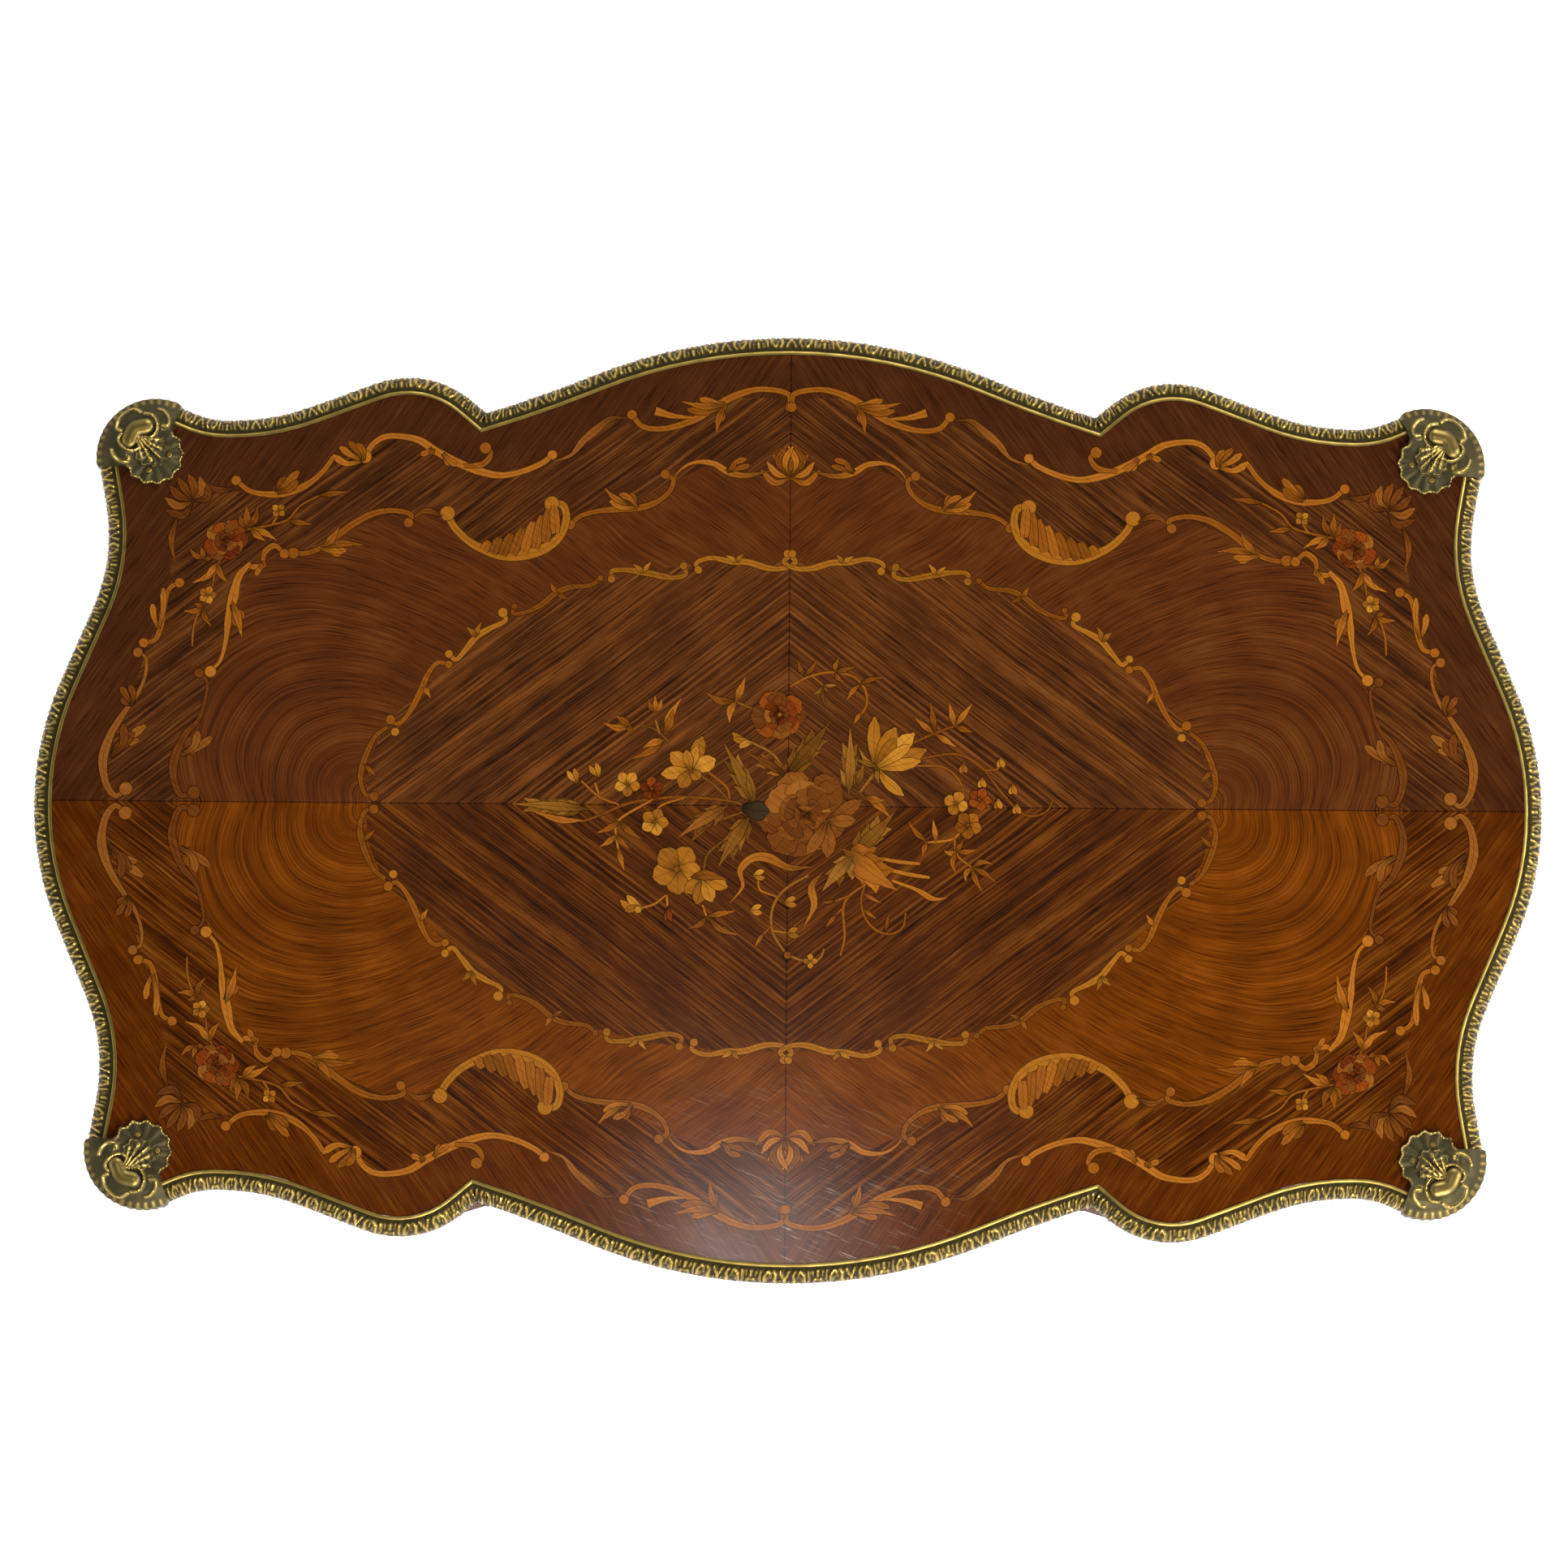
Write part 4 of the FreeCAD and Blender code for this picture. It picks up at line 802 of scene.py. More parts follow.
def spray(wood, half, root, tips, profile=LEAF, where=QUARTERS):
    """Leaves or petals that fan out of one point, each bowed a little to its own side."""
    for k, tip in enumerate(tips):
        bow = SPRAY_BOW * (k - (len(tips) - 1) / 2)
        across_x, across_y = (tip[1] - root[1]) * bow, (tip[0] - root[0]) * bow
        middle = ((root[0] + tip[0]) / 2 - across_x, (root[1] + tip[1]) / 2 + across_y)
        stroke(wood, half, [root, middle, tip], profile, where)


def leaflets(wood, half, pairs, profile=LEAF, where=QUARTERS):
    """Single straight leaves, each with its own root and tip."""
    for root, tip in pairs:
        spray(wood, half, root, [tip], profile, where)


def lobed_leaf(wood, half, root, tip, lobes=3, where=QUARTERS):
    """Leaf with pairs of side lobes along its midrib; half is the greatest half width in mm."""
    root, tip = Vector(root), Vector(tip)
    along = tip - root
    side = Vector((-along.y, along.x)).normalized() * half / PHOTO_MM
    for k in range(lobes):
        share = 0.08 + 0.6 * k / lobes
        base = root + along * share
        for turn in (-1, 1):
            end = base + along * 0.3 + side * turn * (1 - 0.5 * share)
            stroke(wood, half * 0.48, [base, base.lerp(end, 0.5) + along * 0.03, end], LEAF, where)
    stroke(wood, half * 0.55, [root, root.lerp(tip, 0.5) + side * 0.1, tip], LEAF, where)


def draw_all(title, rows, where):
    """Draw the rows of a list, (kind, what it needs), in each of some places."""
    for kind, *needs in rows:
        kind(*needs, where=where)
    print(title, len(rows), "rows;", sum(store["count"] for store in laid.values()), "pieces laid so far")


print("kinds:", ", ".join(kind.__name__ for kind in (scroll, spray, leaflets, lobed_leaf)))

# %% [markdown]
# ## Inner cartouche
# A chain of small C- and S-scrolls frames the centre panel. It lies over the joint between the striped
# centre and the field, and hides it, as such chains do on real tops. Half width in mm, then points and ball
# sizes in pixels.

# %% Inner cartouche
CARTOUCHE = [
    (scroll, "satinwood", 3.0, [(968, 680), (978, 690), (964, 698), (944, 698), (920, 691), (898, 690),
     (874, 686), (856, 692), (858, 701)], 5, 5),
    (spray, "satinwood", 2.4, (905, 692), [(913, 681), (893, 683)]),
    (scroll, "satinwood", 3.0, [(840, 696), (842, 707), (825, 711), (798, 706), (772, 702), (752, 703),
     (751, 713)], 5, 5),
    (spray, "satinwood", 2.3, (790, 706), [(799, 692), (778, 695)]),
    (scroll, "amber", 2.8, [(737, 712), (725, 721), (699, 724), (681, 732), (664, 746), (646, 755),
     (630, 757), (631, 748)], 4, 4),
    (spray, "amber", 2.4, (684, 731), [(676, 720), (696, 738)]),
    (scroll, "satinwood", 2.9, [(617, 756), (620, 766), (601, 776), (585, 786), (571, 803), (560, 815),
     (551, 808)], 6, 5),
    (spray, "satinwood", 2.6, (584, 787), [(590, 769), (573, 775)]),
    (scroll, "amber", 2.8, [(551, 821), (537, 819), (525, 834), (515, 858), (503, 881), (490, 895),
     (480, 890)], 5, 6),
    (spray, "amber", 2.4, (520, 848), [(529, 862)]),
    (ball, "satinwood", (486, 905), 4.0),
    (scroll, "amber", 2.8, [(476, 899), (461, 912), (449, 938), (444, 962), (450, 982), (461, 985)],
     None, 6),
    (spray, "amber", 2.3, (448, 945), [(462, 959)]),
]
draw_all("cartouche", CARTOUCHE, QUARTERS)

# %% [markdown]
# ## Inner strap
# Between the field and the band runs a strap of longer scrolls with acanthus leaves. Its showpiece is the
# large comb-like C-scroll towards each end, whose hollow is filled with short flutes.

# %% Inner strap
INNER_STRAP = [
    (spray, "amber", 3.0, (974, 584), [(935, 576), (942, 566), (950, 557), (959, 550), (968, 546),
     (975, 544)], PETAL),
    (stroke, "amber", 3.2, [(945, 577), (915, 583), (893, 578), (875, 568), (852, 567), (835, 576),
     (828, 587)]),
    (spray, "amber", 2.8, (892, 578), [(916, 562), (920, 570), (902, 566)], LOBE),
    (scroll, "amber", 3.0, [(816, 582), (826, 589), (821, 604), (805, 617), (785, 624), (759, 626),
     (732, 629), (712, 635), (699, 646)], 6, 6),
    (spray, "amber", 3.0, (782, 624), [(748, 616), (774, 606), (760, 607)], LOBE),
    (stroke, "amber", 3.0, [(770, 622), (752, 611), (741, 600)]),
    (scroll, "satinwood", 4.6, [(676, 620), (690, 622), (694, 640), (686, 661), (667, 676), (643, 684),
     (619, 685), (596, 679), (573, 667), (555, 649), (547, 633)], 9, 9),
    (leaflets, "amber", 4.4, [((592, 679), (600, 668)), ((603, 683), (612, 663)),
     ((615, 685), (626, 658)), ((628, 684), (640, 651)), ((642, 681), (653, 643)),
     ((656, 676), (664, 635)), ((669, 668), (672, 626)), ((681, 657), (679, 622))], FLUTE),
    (stroke, "rust", 3.0, [(541, 637), (521, 630), (503, 640)]),
    (scroll, "amber", 3.2, [(499, 645), (502, 635), (481, 630), (455, 634), (431, 647), (411, 662),
     (392, 677), (372, 684), (357, 684)], 6, 7),
    (spray, "amber", 3.4, (390, 678), [(415, 686), (422, 680)], LOBE),
    (spray, "amber", 3.6, (394, 676), [(443, 673), (413, 652)]),
    (scroll, "amber", 2.8, [(346, 685), (334, 675), (322, 683), (319, 699)], 6, 5),
    (spray, "amber", 2.6, (320, 696), [(304, 702), (311, 712), (318, 704)], LOBE),
    (scroll, "amber", 3.4, [(304, 697), (290, 714), (284, 738), (278, 768), (275, 795), (269, 818),
     (257, 832)], None, 7, BELLY[::-1]),
    (spray, "amber", 3.6, (282, 748), [(287, 775), (297, 764)], LOBE),
    (stroke, "amber", 3.8, [(282, 744), (290, 766), (295, 789)]),
    (scroll, "rust", 3.0, [(243, 834), (253, 845), (251, 867), (243, 892), (226, 912), (214, 943),
     (214, 965), (223, 985), (239, 982)], 6, 8, BELLY),
    (spray, "rust", 3.8, (223, 936), [(240, 932), (254, 921), (260, 913), (243, 906)], LOBE),
]
draw_all("inner strap", INNER_STRAP, QUARTERS)

# %% [markdown]
# ## Outer strap
# The outer strap parts the striped band from the plain border. It passes the notches in long C-scrolls,
# opens to a half palmette at each corner and closes with two scrolls back to back at the ends.

# %% Outer strap
OUTER_STRAP = [
    (scroll, "amber", 3.4, [(970, 497), (966, 480), (931, 475), (898, 485), (872, 501), (848, 515),
     (815, 525), (788, 523), (774, 508)], 6, 6),
    (stroke, "amber", 3.8, [(848, 511), (824, 509), (803, 503)], RIBBON),
    (spray, "amber", 3.4, (890, 495), [(843, 501), (858, 488), (885, 515)], LOBE),
    (spray, "amber", 3.4, (888, 496), [(835, 491), (879, 530)]),
    (stroke, "rust", 3.8, [(766, 512), (748, 513), (730, 527), (714, 541), (699, 559), (678, 567)]),
    (scroll, "amber", 3.6, [(676, 559), (664, 569), (639, 580), (613, 585), (589, 581), (562, 571),
     (533, 556), (508, 541), (474, 537), (455, 546), (444, 563)], 6, 8),
    (scroll, "amber", 2.8, [(566, 574), (590, 571), (600, 558), (593, 551)], None, 7),
    (spray, "amber", 3.0, (528, 552), [(513, 560), (527, 559)], LOBE),
    (spray, "amber", 3.2, (540, 558), [(548, 573), (558, 573)], LOBE),
    (spray, "amber", 3.2, (442, 568), [(404, 562), (413, 551), (424, 545), (434, 547)], LOBE),
    (scroll, "amber", 3.2, [(405, 564), (392, 582), (372, 599), (348, 609), (325, 611), (302, 607),
     (285, 594)], None, 6),
    (spray, "amber", 3.6, (336, 609), [(347, 590), (362, 582), (361, 594)], LOBE),
    (stroke, "rust", 3.0, [(283, 604), (264, 606), (246, 597)]),
    (spray, "rust", 3.8, (232, 620), [(199, 632), (198, 617), (203, 602), (213, 591), (226, 587),
     (240, 590), (250, 599)], PETAL),
    (stroke, "rust", 3.0, [(213, 640), (206, 668), (211, 697)]),
    (scroll, "amber", 3.0, [(217, 722), (205, 729), (199, 746), (194, 778), (188, 793), (174, 797)], 6,
     6),
    (spray, "amber", 3.0, (192, 780), [(184, 749), (197, 729)], LOBE),
    (scroll, "rust", 3.2, [(167, 809), (177, 816), (177, 836), (169, 858), (156, 877), (143, 897),
     (134, 914), (127, 937), (127, 956), (132, 975), (143, 987), (155, 978)], 6, 8, BELLY),
    (spray, "rust", 3.2, (161, 874), [(148, 866), (147, 852), (158, 850)], LOBE),
    (spray, "rust", 4.0, (135, 940), [(170, 918), (178, 900), (163, 907), (151, 898)], LOBE),
]
draw_all("outer strap", OUTER_STRAP, QUARTERS)

# %% [markdown]
# ## Flowers
# Flowers are petals round a centre. An open flower has one ring of them; a peony or a carnation has several
# rings that get smaller towards the middle, each turned against the last so that the petals overlap. Half-
# open flowers are drawn petal by petal, and buds are two petals on a foot.

# %% Flowers
HEART_SHARE = 0.14          # radius of a heart for that of its flower
TWIG_ROOM = 0.35            # mm added to a twig, so that it still shows between its glue lines


def blossom(wood, at, radius, count, turn=0.0, wide=0.42, where=QUARTERS):
    """Open flower: a ring of petals round a small brown heart; radius in pixels."""
    for k in range(count):
        angle = turn + 2 * math.pi * k / count
        tip = (at[0] + radius * math.cos(angle), at[1] + radius * math.sin(angle))
        middle = ((at[0] + tip[0]) / 2, (at[1] + tip[1]) / 2)
        stroke(wood, radius * wide * PHOTO_MM, [at, middle, tip], PETAL, where)
    ball("brown", at, radius * HEART_SHARE * PHOTO_MM, where=where)


def full_flower(woods, at, radius, rings, flat=1.0, where=QUARTERS):
    """Peony or carnation: rings of short petals, largest first; rings are (share of the radius, petals)."""
    for r, (share, count) in enumerate(rings):
        for k in range(count):
            angle = 2 * math.pi * (k + 0.5 * (r % 2)) / count + 0.2 * math.sin(3 * k + r)
            out = radius * share * (0.92 + 0.1 * math.sin(5 * k + 2 * r))
            tip = (at[0] + out * math.cos(angle), at[1] + out * flat * math.sin(angle))
            root = (at[0] + out * 0.3 * math.cos(angle), at[1] + out * 0.3 * flat * math.sin(angle))
            middle = ((tip[0] * 2 + root[0]) / 3, (tip[1] * 2 + root[1]) / 3)
            half = out * math.sin(math.pi / count) * 1.15 * PHOTO_MM
            stroke(woods[(k + r) % len(woods)], half, [root, middle, tip], PETAL, where)


def petals(wood, root, tips, bend=(0, 0), where=QUARTERS):
    """Petals from one root to (tip, half width in mm), all bent by some pixels at their middle."""
    for tip, half in tips:
        middle = ((root[0] + tip[0]) / 2 + bend[0], (root[1] + tip[1]) / 2 + bend[1])
        stroke(wood, half, [root, middle, tip], PETAL, where)


def buds(wood, half, places, foot, tips, where=QUARTERS):
    """Buds at some places; foot and tips are steps in pixels from each place."""
    for x, y in places:
        spray(wood, half, (x + foot[0], y + foot[1]), [(x + a, y + b) for a, b in tips], PETAL, where)


def twig(points, half=0.8, wood="amber", where=QUARTERS):
    """Thin stem through points."""
    stroke(wood, half + TWIG_ROOM, points, STEM, where)


print("kinds:", ", ".join(kind.__name__ for kind in (blossom, full_flower, petals, buds, twig)))

# %% [markdown]
# ## Corner sprays
# Towards each corner the band carries a spray: a dark carnation on the crossing of two twigs, with pointed
# leaves and two small open flowers. The twigs come first, because everything else lies over them.

# %% Corner sprays
CORNER_SPRAYS = [
    (twig, [(268, 690), (261, 707), (258, 727)], 0.6),
    (twig, [(300, 655), (330, 649), (350, 642), (365, 625), (388, 612)], 0.7),
    (twig, [(247, 752), (240, 762), (235, 780), (234, 801)], 0.5),
    (twig, [(330, 649), (337, 638)], 0.5),
    (full_flower, ["red", "rust"], (274, 668), 29, [(1.0, 9), (0.78, 8), (0.52, 6), (0.28, 4)]),
    (spray, "amber", 3.4, (300, 653), [(290, 637), (298, 625), (312, 626)]),
    (spray, "amber", 3.2, (304, 654), [(336, 668), (322, 669)]),
    (spray, "amber", 2.8, (387, 612), [(424, 607)]),
    (spray, "amber", 2.8, (350, 644), [(379, 648)]),
    (spray, "amber", 2.6, (247, 692), [(229, 680), (243, 678), (256, 690)]),
    (spray, "amber", 3.2, (264, 697), [(233, 722), (247, 719), (276, 721)]),
    (spray, "amber", 2.8, (247, 752), [(223, 757), (236, 748), (257, 776)]),
    (blossom, "satinwood", (338, 631), 9, 4, 0.7, 0.5),
    (blossom, "satinwood", (252, 737), 11, 5, 0.0, 0.48),
]
draw_all("corner sprays", CORNER_SPRAYS, QUARTERS)

# %% [markdown]
# ## Bouquet
# The bouquet lies alone in the centre panel, so its layers start afresh at the ground. Stems are laid
# first, so that leaves and petals cover them: the long ones to the tip at the left, the curling ones below
# and the sprays of small flowers at the right.

# %% Bouquet stems
BOUQUET_STEMS = [
    (twig, [(718, 1014), (740, 1006), (772, 992), (803, 986), (843, 983), (897, 987), (925, 995)], 1.0),
    (twig, [(716, 964), (738, 983), (763, 993)], 0.7),
    (twig, [(733, 966), (738, 980)], 0.6),
    (twig, [(803, 987), (763, 1012), (760, 1033), (766, 1060)], 0.7),
    (twig, [(843, 984), (818, 992), (806, 1002)], 0.6),
    (twig, [(862, 955), (880, 968), (897, 985)], 1.0, "green"),
    (twig, [(870, 950), (895, 970), (899, 985)], 0.8),
    (twig, [(825, 916), (807, 900), (790, 895)], 0.8, "green"),
    (twig, [(812, 905), (807, 888)], 0.7, "green"),
    (twig, [(907, 865), (927, 873)], 0.6, "green"),
    (twig, [(926, 915), (950, 927), (963, 943)], 0.9, "green"),
    (twig, [(853, 1036), (880, 1015), (915, 1001)], 0.9, "green"),
    (twig, [(868, 1072), (873, 1053), (892, 1036)], 0.9, "green"),
    (twig, [(793, 1120), (808, 1115), (822, 1104)], 0.6),
    (twig, [(823, 1104), (824, 1120)], 0.6),
    (twig, [(867, 1116), (875, 1133), (900, 1148)], 0.6),
    (twig, [(997, 1078), (967, 1097), (953, 1120), (953, 1147), (965, 1168), (975, 1178), (1000, 1185),
     (1012, 1180), (1017, 1169)], 0.8, "green"),
    (twig, [(935, 1085), (938, 1097), (958, 1105)], 0.5),
    (twig, [(953, 1147), (974, 1150)], 0.5),
    (twig, [(953, 1140), (942, 1152), (933, 1166)], 0.7),
    (twig, [(973, 845), (995, 833), (1023, 827), (1050, 832), (1065, 848), (1067, 867), (1057, 884)]),
    (twig, [(1000, 832), (1012, 842), (1018, 850)], 0.5),
    (twig, [(1115, 918), (1150, 902), (1177, 892)]),
    (twig, [(1125, 935), (1170, 927), (1193, 932), (1213, 947), (1233, 973), (1257, 998), (1273, 1003),
     (1290, 997), (1298, 982)]),
    (twig, [(1125, 942), (1160, 943), (1180, 957), (1188, 976)], 0.7),
    (twig, [(1213, 947), (1227, 946), (1233, 940)], 0.5),
    (twig, [(1060, 975), (1075, 955), (1083, 945)], 1.2, "green"),
    (twig, [(1185, 1022), (1172, 1033), (1140, 1037)], 0.7),
    (twig, [(1176, 1030), (1180, 1052), (1198, 1067)], 0.7),
    (twig, [(1085, 1057), (1110, 1061), (1134, 1063)], 1.4),
    (twig, [(1092, 1070), (1120, 1076), (1146, 1080)], 1.5),
    (stroke, "amber", 2.6, [(1100, 1084), (1130, 1095), (1150, 1106), (1167, 1105)], CUT_STEM),
    (twig, [(1072, 1086), (1048, 1103), (1040, 1120), (1042, 1153), (1037, 1177)], 0.9),
    (twig, [(1048, 1103), (1030, 1110)], 0.6),
    (twig, [(1040, 1118), (1030, 1128)], 0.5),
    (twig, [(1066, 1092), (1062, 1108), (1066, 1128), (1079, 1144), (1097, 1150), (1113, 1142),
     (1117, 1124)], 0.7),
]
layer = itertools.count(1)
draw_all("stems", BOUQUET_STEMS, ONCE)

# %% [markdown]
# The leaves are of two kinds: large lobed ones in darker wood round the heart of the bouquet, and small
# pointed ones in sprays on the twigs.

# %% Bouquet leaves
BOUQUET_LEAVES = [
    (lobed_leaf, "green", 8.0, (727, 999), (632, 993), 5),
    (stroke, "amber", 3.2, [(655, 1001), (690, 1012), (718, 1013)], LEAF[::-1]),
    (spray, "amber", 3.0, (764, 1013), [(736, 1028), (790, 1035)]),
    (spray, "amber", 2.8, (760, 1030), [(740, 1045), (776, 1047)]),
    (spray, "amber", 2.6, (762, 1047), [(770, 1074)]),
    (spray, "amber", 3.8, (818, 905), [(838, 861), (828, 874)]),
    (spray, "amber", 3.6, (818, 913), [(779, 936), (792, 922)]),
    (spray, "amber", 3.4, (777, 896), [(743, 892), (757, 882), (775, 904)]),
    (spray, "amber", 2.4, (807, 878), [(798, 862), (806, 858), (814, 862)]),
    (spray, "amber", 3.6, (906, 864), [(868, 853), (917, 835), (898, 890)]),
    (lobed_leaf, "green", 9.0, (930, 992), (892, 917)),
    (spray, "green", 4.0, (930, 990), [(920, 946)]),
    (lobed_leaf, "brown", 7.0, (968, 955), (919, 927), 2),
    (lobed_leaf, "green", 11.0, (970, 955), (1021, 890)),
    (lobed_leaf, "green", 8.5, (1046, 978), (1047, 897)),
    (spray, "green", 3.4, (1056, 968), [(1064, 940)]),
    (lobed_leaf, "brown", 9.0, (897, 993), (837, 1032)),
    (lobed_leaf, "green", 10.0, (925, 1005), (886, 1069)),
    (stroke, "amber", 4.2, [(1002, 1068), (973, 1069), (947, 1057), (927, 1058), (913, 1073),
     (916, 1093), (901, 1113)]),
    (spray, "amber", 2.8, (873, 1130), [(850, 1145), (907, 1123), (913, 1153)]),
    (lobed_leaf, "green", 11.0, (1050, 1054), (1102, 1000)),
    (spray, "amber", 3.8, (1066, 981), [(1097, 1006), (1090, 985)]),
    (lobed_leaf, "amber", 17.0, (1040, 1046), (1106, 1096)),
    (lobed_leaf, "green", 10.0, (1052, 1054), (1014, 1098), 2),
    (stroke, "amber", 3.6, [(1014, 1075), (1001, 1092), (1004, 1116), (992, 1142)]),
    (spray, "amber", 2.4, (990, 832), [(982, 813), (1005, 812)]),
    (spray, "amber", 2.4, (1028, 827), [(1032, 811), (1052, 820), (1038, 839)]),
    (spray, "amber", 2.4, (1058, 842), [(1087, 833), (1043, 861)]),
    (spray, "green", 2.0, (1014, 844), [(1002, 854), (1030, 843), (1018, 871)]),
    (spray, "amber", 2.2, (1060, 876), [(1052, 890)]),
    (leaflets, "amber", 2.9, [((1150, 902), (1127, 883)), ((1152, 901), (1146, 864)),
     ((1176, 893), (1169, 864)), ((1177, 892), (1197, 865)), ((1176, 893), (1198, 900)),
     ((1153, 903), (1177, 918))]),
    (spray, "amber", 2.6, (1143, 1036), [(1120, 1012), (1137, 1054)]),
    (spray, "amber", 2.6, (1154, 1036), [(1150, 1009)]),
    (spray, "amber", 2.6, (1179, 1048), [(1164, 1047), (1187, 1036), (1204, 1045), (1178, 1074)]),
    (spray, "amber", 2.6, (1198, 1067), [(1224, 1063), (1228, 1086), (1211, 1097), (1190, 1084)]),
    (leaflets, "amber", 2.0, [((1030, 1110), (1015, 1112)), ((1064, 1100), (1086, 1112)),
     ((1065, 1120), (1080, 1131)), ((1092, 1147), (1096, 1126)), ((1032, 1126), (1019, 1142)),
     ((942, 1150), (932, 1166))]),
]
draw_all("leaves", BOUQUET_LEAVES, ONCE)

# %% [markdown]
# Last come the flowers, from the small open ones at the left to the peony in the heart, which overlaps the
# leaves round it, and the half-open lily at the right with its hanging bells.

# %% Bouquet flowers
BOUQUET_FLOWERS = [
    (blossom, "satinwood", (773, 967), 16, 5, 0.3),
    (blossom, "red", (803, 973), 15, 5, 0.9),
    (blossom, "satinwood", (807, 1014), 17, 5, -1.2, 0.45),
    (petals, "satinwood", (851, 950), [((865, 908), 6.4), ((881, 936), 7.4), ((826, 928), 7.0),
     ((815, 955), 6.0), ((838, 971), 6.6), ((862, 960), 5.6), ((858, 920), 4.4), ((845, 925), 4.6)]),
    (full_flower, ["rust", "red"], (960, 880), 35, [(1.0, 8), (0.66, 7), (0.36, 5)]),
    (ball, "amber", (960, 880), 2.2),
    (spray, "satinwood", 3.2, (928, 915), [(902, 903), (903, 911), (911, 921)], PETAL),
    (blossom, "satinwood", (835, 1072), 31, 5, -1.0, 0.46),
    (petals, "satinwood", (868, 1082), [((846, 1101), 6.2), ((860, 1115), 6.2), ((878, 1112), 6.2),
     ((897, 1094), 6.2)]),
    (stroke, "amber", 4.6, [(852, 1082), (872, 1079), (896, 1084)]),
    (spray, "satinwood", 3.4, (793, 1120), [(766, 1111), (774, 1105), (772, 1124), (786, 1126)], PETAL),
    (spray, "red", 2.6, (825, 1118), [(821, 1135), (829, 1136)], PETAL),
    (buds, "satinwood", 2.6, [(707, 958), (734, 951)], (4, 8), [(-8, -6), (0, -9)]),
    (buds, "satinwood", 2.6, [(935, 1078), (932, 1121), (974, 1111), (977, 1149)], (-6, 2), [(7, -5),
     (8, 4)]),
    (full_flower, ["rust", "brown", "rust"], (992, 1003), 66, [(1.0, 11), (0.8, 9), (0.6, 8), (0.4, 6),
     (0.22, 4)], 0.82),
    (petals, "rust", (1018, 1012), [((1061, 985), 6.4), ((1054, 1010), 6.0), ((1020, 1056), 6.8),
     ((995, 1052), 5.6)], (2, 0)),
    (stroke, "dark", 8.4, [(915, 995), (932, 999), (948, 1000)], PETAL),
    (petals, "satinwood", (1079, 945), [((1077, 882), 6.0), ((1103, 895), 7.4), ((1126, 902), 7.4),
     ((1141, 922), 7.0), ((1134, 936), 5.6), ((1113, 979), 4.8), ((1104, 908), 5.4),
     ((1122, 916), 5.0)], (-1.5, 1.5)),
    (spray, "green", 2.4, (1082, 945), [(1058, 921), (1053, 934), (1083, 964)]),
    (blossom, "satinwood", (1178, 988), 15, 4, 0.4, 0.5),
    (blossom, "red", (1207, 983), 14, 5, 0.1, 0.46),
    (blossom, "amber", (1193, 1015), 17, 5, -0.9, 0.46),
    (buds, "satinwood", 2.6, [(1187, 944), (1210, 962), (1233, 937), (1248, 970), (1230, 988),
     (1253, 994)], (0, -6), [(-4, 6), (4, 6)]),
    (ball, "rust", (972, 1177), 3.6),
    (blossom, "satinwood", (1000, 1184), 9, 4, 0.0, 0.45),
]
draw_all("flowers", BOUQUET_FLOWERS, ONCE)

# %% [markdown]
# ## Woods of the inlay
# Each wood becomes one mesh with one material. What the points carry lets that material draw the dark glue
# line along the edge, a vein along the middle of wide pieces and the scorched shading at a root. Outlines
# that fine would not show from five metres, so they are drawn broader than the real ones. The sheets are
# thickened downwards into the veneer.

# %% Inlay woods
SHEET_THICK = 0.4 * MM
INLAY_TURN = 0.9                            # radians; direction of the fibres
INLAY_FIBRE = (1.0 * MM, 16 * MM, 1)
SCORCH = (0.55, 0.45)                       # part of the length that is scorched, and how dark it starts
RIM_SHARE, RIM_MOST = 0.4, 0.08             # glue line as a share of the half width, and its limit in cm
GLUE_DARK = 0.2
INLAY_TONES = {                             # dark, middle and light
    "satinwood": ("#6E4110", "#985E18", "#BC822A"),
    "amber": ("#5A300A", "#844A12", "#A8661E"),
    "red": ("#451A06", "#682C0A", "#8C4612"),
    "rust": ("#48240B", "#6E3B11", "#8E561F"),
    "green": ("#45280A", "#6E4412", "#946022"),
    "brown": ("#4A2509", "#703E13", "#925A20"),
    "dark": ("#1C130B", "#2C2013", "#3A2C1A"),
}


